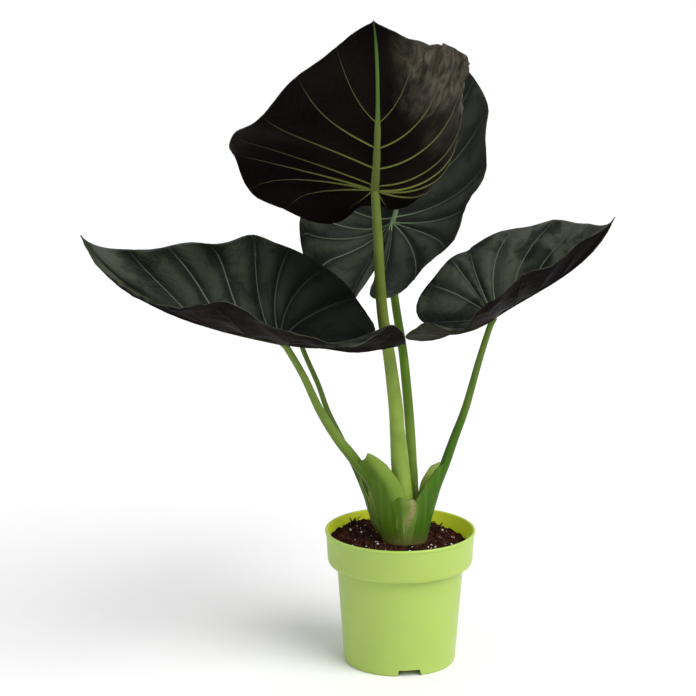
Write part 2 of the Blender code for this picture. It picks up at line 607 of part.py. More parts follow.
def make_sheath(name, cutters):
    """The sheath: a sheet that wraps the stalks within it, with the rim's outline at its top."""
    rows = np.array(STALKS[name]["sheath"], float)
    rim = np.array(STALKS[name]["rim"], float)
    bm = bmesh.new()
    bmesh.ops.create_grid(bm, x_segments=SHEATH_COLUMNS, y_segments=SHEATH_ROWS, size=1.0)
    grid = np.array([vert.co for vert in bm.verts])
    share, up = grid[:, 0], (grid[:, 1] + 1) / 2
    low = rows[0, 0] + SHEATH_LIFT * 1000
    z = low + up * (np.interp(share, rim[:, 0], rim[:, 1]) - low)
    radius, back, left, right = (np.interp(z, rows[:, 0], rows[:, k]) for k in range(1, 5))
    angle = np.radians(back + share * np.where(share > 0, left, right))
    back = np.radians(back)
    x, y = (path_at(name, z) - radius[:, None] * np.stack([np.cos(back), np.sin(back)], axis=1)).T
    for vert, spot in zip(bm.verts, zip(x + radius * np.cos(angle), y + radius * np.sin(angle), z)):
        vert.co = Vector(spot) / 1000
    bmesh.ops.triangulate(bm, faces=bm.faces)
    sheet = mesh_object("sheath_" + name, bm, cutters)
    solid = sheet.modifiers.new("thickness", "SOLIDIFY")
    solid.thickness = SHEATH_WALL
    solid.offset = 0.0
    return sheet


def make_stalk(name, parts, cutters):
    stalk = make_column(name, parts)
    if "sheath" in STALKS[name]:
        combine(stalk, make_sheath(name, cutters), "UNION")
    return stalk


def main():
    clear_scene()
    parts = collection("potted_alocasia")
    cutters = collection("cutters")
    make_pot(parts, cutters)
    stem_base = make_stem_base(parts)
    make_soil(parts, grown(stem_base, CLEARANCE, cutters))
    inner = []
    for name in STALKS:
        blade = make_blade("blade_" + name, LEAVES[name], parts, "blade")
        clear_of_blade = make_blade("clear_of_blade_" + name, LEAVES[name], cutters, None, swell=CLEARANCE)
        stalk = make_stalk(name, parts, cutters)
        for cutter in inner:
            combine(stalk, cutter, "DIFFERENCE", tangled=True)
        for cutter in (blade, clear_of_blade):
            combine(stalk, cutter, "DIFFERENCE", tangled=True)
        inner.append(grown(stalk, CLEARANCE, cutters))


main()
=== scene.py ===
"""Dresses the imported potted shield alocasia: dark waved leaves, green stalks, soil and a lime grow pot.

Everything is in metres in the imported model's frame. The origin is on the pot's axis, on the floor, and the
plant faces -Y.
"""

import math
import random

import bmesh
import bpy
import numpy as np
from bpy.props import FloatProperty, FloatVectorProperty, IntProperty, PointerProperty
from bpy.types import Operator, Panel, PropertyGroup
from mathutils import Matrix, Vector, noise


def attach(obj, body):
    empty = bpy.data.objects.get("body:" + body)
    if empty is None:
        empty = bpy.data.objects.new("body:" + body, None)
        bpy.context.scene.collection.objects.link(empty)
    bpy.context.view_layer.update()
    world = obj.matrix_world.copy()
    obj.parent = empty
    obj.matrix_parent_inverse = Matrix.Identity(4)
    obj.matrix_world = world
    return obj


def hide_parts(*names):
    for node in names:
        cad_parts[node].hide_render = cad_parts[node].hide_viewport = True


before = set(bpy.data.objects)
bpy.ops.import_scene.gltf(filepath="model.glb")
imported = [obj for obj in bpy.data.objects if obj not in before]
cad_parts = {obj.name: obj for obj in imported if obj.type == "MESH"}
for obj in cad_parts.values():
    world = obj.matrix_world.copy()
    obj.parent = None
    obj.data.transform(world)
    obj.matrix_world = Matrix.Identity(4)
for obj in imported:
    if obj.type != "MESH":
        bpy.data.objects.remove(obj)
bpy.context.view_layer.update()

bl_info = {
    "name": "Potted Shield Alocasia",
    "version": (1, 0, 0),
    "blender": (4, 5, 0),
    "location": "View3D > Sidebar > Alocasia",
    "description": "Builds the leaves, stalks, soil, pot and stage of a potted shield alocasia",
    "category": "Add Mesh",
}

MILLIMETRE = 0.001
SHARP_ANGLE = math.radians(50)
# Ends of a tube, where its grid closes, are this close, in metres
CLOSE_WITHIN = 2e-6

# Pot, in metres
POT_HEIGHT = 0.154
RIM_RADIUS = 0.085
BAND_RADIUS = 0.0820
BAND_HEIGHT = 0.040
BODY_TOP_RADIUS = 0.0715
BASE_RADIUS = 0.0625
WALL = 0.0018
FLOOR_LIFT = 0.0085
FOOT_RADIUS = 0.014
FOOT_RING_WIDTH = 0.0032
LIP_WIDTH = 0.0030
LIP_DEPTH = 0.0034
LIP_PROUD = 0.0012
EDGE_ROUND = 0.0008
FILLET = 0.0012
CORNER_ROUND = 0.0003
NOTCH_COUNT = 3
NOTCH_TURN = math.radians(-81)
NOTCH_WIDTH_LOW = 0.030
NOTCH_WIDTH_TOP = 0.024
NOTCH_HEIGHT = 0.0078
NOTCH_REACH = 0.020
NOTCH_BELOW = 0.004

# Soil and stem base
SOIL_LEVEL = 0.1405
SOIL_DIP = 0.0025
SOIL_DIP_WIDTH = 0.045
SOIL_SLOPE = 0.045
SOIL_LUMPS = 0.0014
# Waves of the soil's top: turns a metre along X and along Y, the phase, and the share of the height
LUMP_WAVES = ((310, 120, 0.3, 0.45), (-170, 290, 1.7, 0.41), (90, -350, 2.9, 0.36), (430, 260, 4.1, 0.25),
              (-380, 410, 5.3, 0.23))
SOIL_EDGE = 0.0806
STEM_CENTRE = Vector((0.0043, -0.0045, 0.0))
STEM_RADIUS = 0.0250
STEM_TOP = 0.1408
# The soil is heaped against the stem, over the ring where the sheaths start
HEAP_RADIUS = 0.026
HEAP_WIDTH = 0.009
HEAP_HEIGHT = 0.0032
# Where the soil falls away from the wall: the heading and the depth
WALL_DIPS = ((-0.25, 0.0085), (3.35, 0.0040))
DIP_START = 0.058
DIP_WIDTH = 0.020
# The soil's noise, coarse to fine: height, size and seed
CRUMB_NOISE = ((0.0016, 0.011, 3.0), (0.0012, 0.005, 9.0), (0.0006, 0.0022, 17.0))
SOIL_RINGS = 46
SOIL_SPACING = 0.9
SOIL_SIDES = 180
# The soil's profile below its top: radius and height
SOIL_BELOW = ((BODY_TOP_RADIUS - WALL - 0.0006, 0.110), (BASE_RADIUS - 0.0042, 0.0112), (0.0, 0.0112))
SOIL_SEED = 11
# Loose grains lie between these distances from the stem and from the pot's middle
GRAIN_INNER = 0.0255
GRAIN_OUTER = SOIL_EDGE - 0.0015
# A grain's stretch along each axis and its lift, in shares of its size
GRAIN_STRETCH = (0.55, 1.0)
GRAIN_LIFT = (-0.25, 0.45)
GRAIN_ROUGHNESS = 0.22
ANY_TURN = 6.28
FIBRE_SIDES = 4
FIBRE_ROWS = 6
FIBRE_BEND = 1.2
FIBRE_LENGTHS = (0.004, 0.012)
FIBRE_RADII = (0.00018, 0.00042)
FIBRE_LIFTS = (0.0005, 0.0022)
BARK_BEND = 0.25
STEM_DEPTH = 0.040
STEM_RIPPLES = 14
STEM_SIDES = 96
# Bark bits: x, y, length, heading, lift and thickness
BARK_BITS = (
    (-0.0530, 0.0480, 0.0065, 0.3, 0.0085, 0.0017), (-0.0500, 0.0470, 0.0130, 0.15, 0.0130, 0.0006),
    (-0.0545, 0.0470, 0.0060, 2.9, 0.0085, 0.0013), (-0.0515, 0.0475, 0.0050, 0.2, 0.0060, 0.0018),
    (0.0120, -0.0360, 0.0160, 0.2, 0.0030, 0.0009), (0.0220, -0.0340, 0.0100, 0.7, 0.0040, 0.0009),
    (0.0430, 0.0500, 0.0060, 2.9, 0.0070, 0.0014), (0.0470, 0.0490, 0.0070, 0.2, 0.0065, 0.0010),
)

# Blade, whose lengths are shares of the distance from the stalk to the tip
SIDE_BEND_START = -0.22
HALF_OUTLINE = (
    (1.0, 0.0), (0.955, 0.022), (0.88, 0.085), (0.76, 0.215), (0.60, 0.355), (0.42, 0.465),
    (0.22, 0.53), (0.02, 0.545), (-0.18, 0.50), (-0.36, 0.40), (-0.49, 0.27), (-0.535, 0.165),
    (-0.50, 0.09), (-0.40, 0.045), (-0.28, 0.012), (-0.22, 0.0),
)
# Side ribs: the share of the edge, from tip to notch, where each ends, where it leaves the midrib, and its
# strength
SIDE_RIBS = ((0.10, 0.40, 0.95), (0.19, 0.26, 1.0), (0.29, 0.14, 1.0), (0.425, 0.03, 0.75), (0.545, 0.0, 1.0),
             (0.655, 0.0, 0.85), (0.76, 0.0, 0.95), (0.88, 0.0, 0.6))
WAVES_PER_SIDE = 5.5
WAVE_FADE = 0.08
FULL_LENGTH = 0.276
MERGE_WITHIN = 0.00002
RIB_SWEEP = 0.30
RIB_REACH = 0.75
STATIONS = (-0.5, 0.0, 0.5, 1.0)
FIELD_SHARES = (0.0, 0.03, 0.08, 0.16, 0.28, 0.42, 0.58, 0.72, 0.84, 0.92, 0.97)
RING_COUNT = 44
# How much closer the rings stand at the midrib
RING_CROWDING = 0.35
# The strength of the ribs that run to the tip and to the notch
TIP_RIB = 0.5
NOTCH_RIB = 0.2
# Half a side rib's width where it starts, and half the midrib's along the blade, in metres on a full-length
# blade
RIB_HALF = 0.00115
MIDRIB_HALVES = ((-0.25, 0.0014), (0.0, 0.0048), (0.4, 0.0032), (0.6, 0.0016), (0.8, 0.0007), (1.0, 0.0003))
# The groove over a side rib, and the share of the rib over which it starts
GROOVE_DEPTH = 0.0004
GROOVE_START = 0.06
# How far to both sides the width of a field between ribs is measured, in fields
FIELD_STEP = 0.04
# Crumpled margins: the half, the shares of its edge from and to, the height and the size of the creases, and
# how much painted sheen they carry
CRUMPLES = {
    "front": ((0, 0.04, 0.66, 0.0046, 0.013, 1.0),),
    "left": ((0, 0.05, 0.95, 0.0036, 0.017, 0.12),),
    "right": ((1, 0.20, 0.80, 0.0020, 0.015, 0.06),),
}
CREASE_FADE = 0.08
# Fine creases all over a blade: their height, their number on its length, and where they fade
FINE_CREASES = 0.0007
FINE_COUNT = 30
FINE_FADE = 0.05
# Margins that stand up more than the blade's curl gives: the half, the shares of its edge and the height
UPTURNS = {"left": (0, 0.02, 0.40, 0.0095)}
# Painted shade and light on parts of the upper side: the half, from where to where along the blade the tone
# fades, and how much. Painted shade darkens parts turned away from the light; a part with painted light,
# paler, has a number below zero.
PAINTED_SHADING_PARTS = {
    "left": ((1, 0.30, -0.10, 1.0),),
    "back": ((0, -0.60, 0.60, 0.60), (1, -0.60, 0.60, 0.60)),
    "right": ((0, -0.40, 0.20, -1.0), (1, -0.05, -0.35, -1.0)),
}

# Angles are in degrees, bends in degrees a blade length. Heading is the tip's compass direction from +X, rise
# its climb. Tilts and curls are given at the stations, for the left and right halves.
LEAVES = {
    "front": dict(
        length=0.276, width=1.06, lobes=0.90, heading=-87.0, rise=40.8, roll=-8.1, turn=-8.1, twist=4.2,
        bend=(50.3, -61.2), back_bend=126.4, lobe_bends=(-87.5, -196.0),
        tilts=((-12, -1, -5, 5), (-11, 12, -12, 10)), curls=((294, 198, 207, 158), (-8, -12, -12, -155)),
        joint=(-0.0302, -0.060, 0.5521), wave_phase=0.6,
    ),
    "back": dict(
        length=0.265, width=0.92, lobes=1.04, heading=67.7, rise=45.3, roll=-7.6, turn=8.5, twist=-12.3,
        bend=(70.3, -108.3), back_bend=37.0, lobe_bends=(-115.6, 77.1),
        tilts=((8, -33, -35, 16), (-1, -3, -7, -17)), curls=((267, 262, 212, 187), (130, 95, 75, 57)),
        joint=(-0.0088, 0.120, 0.4835), wave_phase=1.9,
    ),
    "left": dict(
        length=0.2625, width=0.82, lobes=0.92, heading=210.3, rise=16.3, roll=-15.6, turn=-17.1, twist=-40.5,
        bend=(-5.0, 50.4), back_bend=20.0, lobe_bends=(-53.0, -8.4),
        tilts=((28, 20, 34, 16), (36, 10, 30, 31)), curls=((46, 20, 92, 44), (182, 198, 204, 192)),
        joint=(-0.1297, -0.088, 0.3908), wave_phase=3.0,
    ),
    "right": dict(
        length=0.187, width=1.04, lobes=0.95, heading=-17.7, rise=36.2, roll=25.8, turn=-23.8, twist=-9.5,
        bend=(-28.9, 57.8), back_bend=83.1, lobe_bends=(-34.6, -81.5),
        tilts=((47, 38, 35, 38), (39, 24, 21, 33)), curls=((-63, -55, -42, -28), (88, 31, 44, -46)),
        joint=(0.1014, -0.020, 0.4039), wave_phase=4.2,
    ),
    "small": dict(
        length=0.140, width=1.0, lobes=0.85, heading=118.0, rise=6.0, roll=3.0, turn=8.0, twist=6.0,
        bend=(-14.0, -24.0), back_bend=-16.0, lobe_bends=(0.0, 0.0),
        tilts=((14, 14, 14, 20), (14, 14, 14, 20)), curls=((20, 20, 20, 20), (20, 20, 20, 20)),
        joint=(-0.122, 0.072, 0.3800), wave_phase=5.1,
    ),
}

# The path has a row a height: x, y, z, half the width and half the thickness, in millimetres. The sheath has
# a row a height: z, its radius, the compass direction of its back, and how far its two wings reach round, in
# degrees. Its rim gives the sheath's top from one wing's edge (-1) over the back (0) to the other's (1).
STALKS = {
    "front": dict(path=(
        (5.8, -14, 141.1, 12.4, 11.6), (4.4, -13.6, 179, 11.4, 11.2), (-0.2, -13.6, 226, 10.3, 10.0),
        (-2.1, -15.5, 250, 9.6, 9.4), (-4.2, -18, 273, 8.4, 8.3), (-6.2, -21, 302, 8.0, 7.9),
        (-13, -26, 356.3, 6.9, 6.7), (-22, -37, 417.4, 6.1, 6.0), (-27, -53, 500, 5.3, 5.2),
        (-30.2, -60, 552.1, 4.6, 4.6),
    )),
    "back": dict(path=(
        (10.5, 7.0, 141.1, 10.0, 3.6), (13.5, 10, 179, 9.0, 4.2), (13.5, 13, 219, 5.8, 5.6),
        (11, 24, 266, 5.6, 5.5), (6, 42, 323, 5.4, 5.2), (2, 56, 355.5, 5.1, 5.0),
        (-6, 79, 404.5, 4.7, 4.6), (-10.5, 102, 451, 4.3, 4.2), (-8.8, 120, 483.5, 3.9, 3.9),
    ), sheath=(
        (141.1, 15, 60, 62, 62), (180, 14, 60, 62, 62), (200, 12, 60, 60, 66), (215, 9, 60, 50, 50),
    ), rim=((-1, 200), (-0.6, 208), (0, 210), (0.6, 208), (1, 200))),
    "right": dict(path=(
        (25.4, -11, 141.1, 14.0, 2.8), (30, -10.7, 165, 13.0, 3.3), (36, -9.5, 190, 11.0, 4.2),
        (42.3, -9.5, 211.6, 8.0, 5.0), (50, -9.5, 234, 6.0, 5.5), (60, -10, 264, 5.1, 5.0),
        (72, -12, 299, 4.5, 4.4), (86, -15, 353, 3.9, 3.8), (96, -18, 388, 3.6, 3.5),
        (101.4, -20, 403.9, 3.4, 3.4),
    ), sheath=(
        (141.1, 22.3, 342, 70, 66), (165, 23, 343, 75, 62), (183, 22.5, 345, 82, 69),
        (195, 21.5, 346, 90, 76), (205, 20.5, 346, 95, 68), (223, 15, 346, 100, 66), (234, 10, 346, 95, 68),
    ), rim=(
        (-1, 228), (-0.7, 232.5), (-0.4, 235), (0, 236), (0.45, 227), (0.62, 229.5), (0.8, 231), (1, 225),
    )),
    "small": dict(path=(
        (-14.7, 7.0, 141.1, 8.5, 2.4), (-26, 8.5, 156, 8.5, 2.8), (-32, 10, 173, 7.5, 3.2),
        (-38.5, 13, 192.6, 6.0, 3.8), (-50, 19, 219, 4.2, 3.8), (-67, 33, 251, 3.6, 3.5),
        (-82, 43, 280, 3.3, 3.2), (-93, 53, 309, 3.1, 3.0), (-109, 63, 344, 2.9, 2.9),
        (-122, 72, 380, 2.8, 2.8),
    ), sheath=(
        (141.1, 16, 150, 38, 60), (166, 16, 150, 50, 60), (193, 14, 152, 50, 55), (215, 9, 155, 50, 60),
    ), rim=((-1, 200), (-0.6, 212), (0, 214), (0.6, 210), (1, 202))),
    "left": dict(path=(
        (-14.4, -16.0, 141.1, 11.0, 2.8), (-19.9, -17.2, 166, 11.5, 3.3), (-25, -17, 190, 11.0, 4.1),
        (-32.2, -16.8, 211, 9.8, 5.0), (-44.2, -18, 229, 8.2, 5.9), (-55.5, -22, 246, 6.6, 6.3),
        (-71.5, -34, 270, 5.6, 5.5), (-89.4, -48, 303.3, 4.8, 4.7), (-107.3, -66, 347.4, 4.1, 4.0),
        (-125, -83, 383.3, 3.7, 3.7), (-129.7, -88, 390.8, 3.6, 3.6),
    ), sheath=(
        (141.1, 22.3, 212, 60, 13), (166, 24, 212, 76, 15), (182, 24.5, 210.6, 84, 16),
        (197, 25, 210, 87, 18), (211, 25, 208, 88, 20), (228.6, 23, 207, 97, 20), (246, 22, 212, 96, 15),
        (253, 22, 214, 90, 12),
    ), rim=(
        (-1, 228), (-0.3, 238), (0.1, 240), (0.38, 242.5), (0.55, 246.5), (0.72, 251.5), (0.84, 251),
        (1, 243),
    )),
}
RINGS_BETWEEN_ROWS = 8
# A stalk is level up to this height above the stem. Its end thins and sinks under the blade, in metres.
LEVEL_HEIGHT = 0.110
TAPER = 0.38
TAPER_LENGTH = 0.007
SINK = 0.0022
SINK_LENGTH = 0.010
SHEATH_WALL = 0.0014
SHEATH_FADE = 12
# How much lower the rim's far corner is than its rows give, in millimetres, and where that starts
RIM_CORNERS = {"left": 7}
CORNER_START = 0.66
# A stalk with no sheath is straight across: its rows give a centre that is a kilometre off
NO_SHEATH = ((0, 1e6, 270, 0, 0),)
# From this share of the sheath's height its back thins, and by how much at the top
SWELL_TOP = 0.55
SHEATH_THINNING = 0.55
# The back's breadth, in half widths of the stalk, and the sheath's lift off the stem and its waves, in
# millimetres
BACK_WIDTH = 0.95
SHEATH_LIFT = 0.4
SHEATH_WAVE = 0.35
# The dried skin that closes the stem's front, over the gap between the left and the right sheath: its foot
# and height in millimetres, how far in from the two wings' edges it starts in degrees, how far it stands out
# and is sunk, and how strongly it is drawn round
SKIN_LOW = 141.6
SKIN_HEIGHT = 56
SKIN_REACH = (64, 26)
SKIN_PROUD = 0.8
SKIN_SUNK = 0.9
SKIN_PULL = 0.36
# Each stalk's colours low down and high up, the heights of the change, how pale its sheath's edge is, and
# maybe where that starts (band) and the heights of a pale top. Without upper it is the settings' green.
STALK_TONES = {
    "front": dict(lower=(0.215, 0.32, 0.05), upper=(0.135, 0.17, 0.028), change=(0.26, 0.46), edge_share=0.0),
    "back": dict(lower=(0.155, 0.24, 0.03), upper=(0.085, 0.19, 0.006), change=(0.20, 0.34), edge_share=0.2,
                 top=(0.462, 0.476)),
    # On the left sheath the pale band is partly its own paler edge and partly painted light, where the wing's
    # flange curves up toward the light
    "left": dict(lower=(0.056, 0.13, 0.002), upper=(0.14, 0.215, 0.03), change=(0.21, 0.30), edge_share=0.70,
                 band=(0.44, 0.74)),
    "right": dict(lower=(0.032, 0.105, 0.0005), upper=(0.09, 0.155, 0.016), change=(0.22, 0.38),
                  edge_share=0.10),
    "small": dict(lower=(0.040, 0.095, 0.005), change=(0.18, 0.32), edge_share=0.3),
}
# The sheaths' inner face: a paler green of its own, and lighter still high up, where painted light stands in
# for light shining through the sheath
PAINTED_LIGHT_INSIDE_TONES = dict(lower=(0.34, 0.46, 0.07), upper=(0.72, 0.84, 0.26), change=(0.19, 0.22), edge_share=0.1)
# What a finish's even values are called on its shader
EVEN_SOCKETS = {
    "specular": "Specular IOR Level", "scatter": "Subsurface Weight", "scatter_radius": "Subsurface Radius",
    "scatter_scale": "Subsurface Scale",
}

# Camera and lights
CAMERA_PLACE = (-0.059, -2.597, 0.963)
CAMERA_TILT = math.radians(77)
SENSOR_WIDTH = 36.0
IMAGE_SIDE = 696
FOCAL_PIXELS = 2400
OVERHEAD_FROM = (1.0, -0.9, 1.3)
# The area lights: name, place, target, size and the setting of their power
AREA_LIGHTS = (
    ("key", (1.6, -1.5, 1.9), (0.0, 0.0, 0.35), (1.3, 1.3), "key"),
    ("fill", (-2.0, -1.6, 1.1), (0.0, 0.0, 0.35), (1.6, 1.6), "fill"),
    ("back", (0.6, 1.8, 1.7), (0.0, 0.0, 0.4), (1.2, 0.8), "fill"),
)
FLOOR_HALF = 30.0

# What colours, lengths and powers among the settings have in common
COLOUR = {"subtype": "COLOR", "size": 3, "min": 0, "max": 1}
LENGTH = {"subtype": "DISTANCE", "unit": "LENGTH"}
POWER = {"subtype": "POWER", "unit": "POWER", "min": 0, "max": 500}


# Settings


class AlocasiaPotSettings(PropertyGroup):
    colour: FloatVectorProperty(
        name="Plastic", description="Colour of the pot's plastic", default=(0.36, 0.50, 0.095), **COLOUR)
    steps: IntProperty(name="Steps", description="Faces round the pot", default=144, min=24, max=256)


class AlocasiaSoilSettings(PropertyGroup):
    colour: FloatVectorProperty(
        name="Peat", description="Colour of the moist peat", default=(0.020, 0.0058, 0.0032), **COLOUR)
    crumbs: IntProperty(name="Crumbs", description="Loose crumbs on the soil", default=2200, min=0, max=4000)
    crumb_size: FloatProperty(
        name="Crumb size", description="Radius of the largest crumbs", default=0.0026, min=0.0005, max=0.006,
        **LENGTH)
    perlite: IntProperty(name="Perlite", description="White grains in the soil", default=120, min=0, max=600)
    perlite_size: FloatProperty(
        name="Perlite size", description="Radius of the largest white grains", default=0.0018, min=0.0005,
        max=0.005, **LENGTH)
    fibres: IntProperty(name="Fibres", description="Loose root and bark fibres", default=70, min=0, max=300)


class AlocasiaStalkSettings(PropertyGroup):
    colour: FloatVectorProperty(
        name="Green", description="Colour of the stalks", default=(0.100, 0.165, 0.020), **COLOUR)
    pale: FloatVectorProperty(
        name="Pale green", description="Colour of the fine lines along the stalks",
        default=(0.250, 0.340, 0.090), **COLOUR)
    sides: IntProperty(name="Sides", description="Faces round a stalk", default=36, min=12, max=96)


class AlocasiaLeafSettings(PropertyGroup):
    thickness: FloatProperty(
        name="Thickness", description="Thickness of a blade between its ribs", default=0.0009, min=0.0004,
        max=0.003, **LENGTH)
    midrib: FloatProperty(
        name="Midrib", description="Depth of the midrib at the stalk", default=0.0046, min=0.001, max=0.01,
        **LENGTH)
    rib: FloatProperty(
        name="Side rib", description="Depth of a side rib where it starts", default=0.0018, min=0.0005,
        max=0.006, **LENGTH)
    swelling: FloatProperty(
        name="Swelling", description="Height of the blade between two side ribs, as a share of its length",
        default=0.012, min=0.0, max=0.05)
    wave: FloatProperty(
        name="Wave", description="Height of the edge's waves, as a share of its length", default=0.013,
        min=0.0, max=0.05)
    upper: FloatVectorProperty(
        name="Upper side", description="Colour of the upper side", default=(0.0125, 0.0180, 0.0105), **COLOUR)
    under: FloatVectorProperty(
        name="Underside", description="Colour of the underside", default=(0.0042, 0.0029, 0.0033), **COLOUR)
    vein: FloatVectorProperty(
        name="Veins", description="Colour of the ribs below", default=(0.150, 0.180, 0.042), **COLOUR)
    vein_above: FloatVectorProperty(
        name="Veins above", description="Colour of the ribs on the upper side", default=(0.135, 0.155, 0.115),
        **COLOUR)


class AlocasiaStageSettings(PropertyGroup):
    floor: FloatVectorProperty(
        name="Floor", description="Colour of the floor", default=(0.90, 0.90, 0.90), **COLOUR)
    key: FloatProperty(
        name="Key light", description="Power of the soft light at the upper right", default=9.0, **POWER)
    fill: FloatProperty(
        name="Fill light", description="Power of the soft light at the left", default=3.0, **POWER)
    overhead: FloatProperty(
        name="Overhead light", description="Strength of the wide soft light from the upper right",
        default=2.5, min=0, max=20)
    spread: FloatProperty(
        name="Spread", description="Angle that the overhead light fills", default=math.radians(50), min=0,
        max=math.pi, subtype="ANGLE", unit="ROTATION")
    sky: FloatProperty(
        name="Sky", description="Strength of the white surroundings", default=0.6, min=0, max=5)


# Curves and sheets


def smooth_curve(rows, share):
    """Points on a smooth curve through the rows, at shares 0 to 1 of the rows' count."""
    rows = np.asarray(rows, float)
    ends = np.vstack([2 * rows[0] - rows[1], rows, 2 * rows[-1] - rows[-2]])
    place = np.clip(np.asarray(share, float), 0, 1) * (len(rows) - 1)
    index = np.minimum(place.astype(int), len(rows) - 2)
    t = (place - index)[:, None]
    a, b, c, d = (ends[index + k] for k in range(4))
    return 0.5 * (2 * b + (c - a) * t + (2 * a - 5 * b + 4 * c - d) * t**2 + (3 * b - a - 3 * c + d) * t**3)


def between_stations(u, values):
    """A value given at the four stations along the blade, smoothly between them."""
    padded = np.array([values[0], *values, values[-1]], float)
    place = np.clip((u - STATIONS[0]) / (STATIONS[1] - STATIONS[0]), 0, 3)
    index = np.minimum(place.astype(int), 2)
    t = place - index
    a, b, c, d = (padded[index + k] for k in range(4))
    return 0.5 * (2 * b + (c - a) * t + (2 * a - 5 * b + 4 * c - d) * t**2 + (3 * b - a - 3 * c + d) * t**3)


def outline_at(edge_share, lobes):
    """Points of the flat half outline at shares of its own length, from the tip to the notch."""
    fine = smooth_curve(HALF_OUTLINE, np.linspace(0, 1, 400))
    fine[fine[:, 0] < 0, 0] *= lobes
    run = np.concatenate([[0], np.cumsum(np.linalg.norm(np.diff(fine, axis=0), axis=1))])
    run /= run[-1]
    return np.stack([np.interp(edge_share, run, fine[:, k]) for k in range(2)], axis=1)


def rib_ends():
    return np.array([0.0, *(rib[0] for rib in SIDE_RIBS), 1.0])


def flat_point(edge_share, ring, lobes):
    """The flat (u, v) of a point on the ray that ends at edge_share, at the share ring of its length."""
    edge = outline_at(edge_share, lobes)
    start = np.interp(edge_share, rib_ends(), (1.0, *(rib[1] for rib in SIDE_RIBS), 0.0))
    sweep_u = start + RIB_SWEEP * (edge[:, 0] - start)
    sweep_v = edge[:, 1] * RIB_REACH
    u = (1 - ring) ** 2 * start + 2 * ring * (1 - ring) * sweep_u + ring**2 * edge[:, 0]
    v = 2 * ring * (1 - ring) * sweep_v + ring**2 * edge[:, 1]
    return u, v


def spine(leaf, side):
    """The blade's middle line, its side direction and its upper normal, along u, for one half."""
    step = 0.01
    us = np.arange(-0.75, 1.105, step)
    ahead, behind = np.maximum(us, 0), np.minimum(us, 0)
    rise = leaf["rise"] + leaf["bend"][0] * ahead + leaf["bend"][1] * ahead**2 + leaf["back_bend"] * behind
    rise = np.radians(rise + leaf["lobe_bends"][side] * np.minimum(0, us - SIDE_BEND_START))
    heading = np.radians(leaf["heading"] + leaf["turn"] * ahead)
    along = np.stack([np.cos(rise) * np.cos(heading), np.cos(rise) * np.sin(heading), np.sin(rise)], axis=1)
    steps = 0.5 * (along[1:] + along[:-1]) * step * leaf["length"]
    place = np.vstack([np.zeros(3), np.cumsum(steps, axis=0)])
    place += np.array(leaf["joint"]) - place[np.argmin(abs(us))]
    level = np.stack([-np.sin(heading), np.cos(heading), 0 * heading], axis=1)
    upright = np.cross(along, level)
    roll = np.radians(leaf["roll"] + leaf["twist"] * us)[:, None]
    across = np.cos(roll) * level + np.sin(roll) * upright
    return us, place, across, np.cos(roll) * upright - np.sin(roll) * level


def bent(leaf, side, u, v):
    """Where flat points of one half lie in space, and the blade's upper normal there."""
    us, place, across, upper = spine(leaf, side)

    def at_u(rows):
        return np.stack([np.interp(u, us, rows[:, k]) for k in range(3)], axis=1)

    tilt = np.radians(between_stations(u, leaf["tilts"][side]))
    curl = np.radians(between_stations(u, leaf["curls"][side]))
    run = np.linspace(0, 1, 9)[None, :] * (v * leaf["width"])[:, None]
    angle = tilt[:, None] + curl[:, None] * run
    out = np.sum(0.5 * (np.cos(angle[:, 1:]) + np.cos(angle[:, :-1])) * np.diff(run, axis=1), axis=1)
    up = np.sum(0.5 * (np.sin(angle[:, 1:]) + np.sin(angle[:, :-1])) * np.diff(run, axis=1), axis=1)
    sign = 1.0 if side == 0 else -1.0
    outward, upward = sign * at_u(across), at_u(upper)
    size = leaf["length"]
    normal = np.cos(angle[:, -1])[:, None] * upward - np.sin(angle[:, -1])[:, None] * outward
    return at_u(place) + size * (out[:, None] * outward + up[:, None] * upward), normal


def upper_side(leaf):
    """The upper normal at the joint of stalk and blade."""
    us, _, _, upper = spine(leaf, 0)
    return Vector(upper[np.argmin(abs(us))])


def fine_noise(point, size, seed=0.0):
    return noise.noise(Vector(point) / size + Vector((seed, seed * 1.7, seed * 0.6)))


# Meshes


def grid(columns, rows):
    """A grid mesh, with each vertex's place in it as shares 0 to 1 across and up."""
    bm = bmesh.new()
    bmesh.ops.create_grid(bm, x_segments=columns, y_segments=rows, size=1.0)
    places = np.array([vert.co for vert in bm.verts])
    return bm, (places[:, 0] + 1) / 2, (places[:, 1] + 1) / 2


def place_verts(bm, points, **layers):
    """Moves the vertices to the points and keeps each layer's values on them."""
    handles = {label: bm.verts.layers.float.new(label) for label in layers}
    for index, vert in enumerate(bm.verts):
        vert.co = points[index]
        for label, values in layers.items():
            vert[handles[label]] = values[index]
    return handles


def face_toward(bm, direction):
    """Turns a sheet's faces round if most of it faces away from the direction."""
    facing = sum((face.normal * face.calc_area() for face in bm.faces), Vector())
    if facing.dot(direction) < 0:
        bmesh.ops.reverse_faces(bm, faces=bm.faces)


def add_object(name, data):
    made = bpy.data.objects.new(name, data)
    bpy.context.scene.collection.objects.link(made)
    return made


def as_object(name, bm):
    mesh = bpy.data.meshes.new(name)
    bm.to_mesh(mesh)
    bm.free()
    return add_object(name, mesh)


def smooth(mesh):
    mesh.shade_smooth()
    mesh.set_sharp_from_angle(angle=SHARP_ANGLE)


def piece(name, bm, materials, nodes=()):
    """Turns a mesh into a finished piece that rides with the plant and stands for the named nodes."""
    made = as_object(name, bm)
    for material in materials:
        made.data.materials.append(material)
    smooth(made.data)
    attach(made, "root")
    if nodes:
        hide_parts(*nodes)
    return made


def thicken(sheet, thickness, offset, shares=None):
    """Gives a sheet its wall. With shares it differs by vertex, and the far side has the second material."""
    solid = sheet.modifiers.new("thickness", "SOLIDIFY")
    solid.thickness = thickness
    solid.offset = offset
    if shares is not None:
        group = sheet.vertex_groups.new(name="depth")
        for index, share in enumerate(shares):
            group.add([index], share, "REPLACE")
        solid.vertex_group = group.name
        solid.material_offset = 1


# Materials


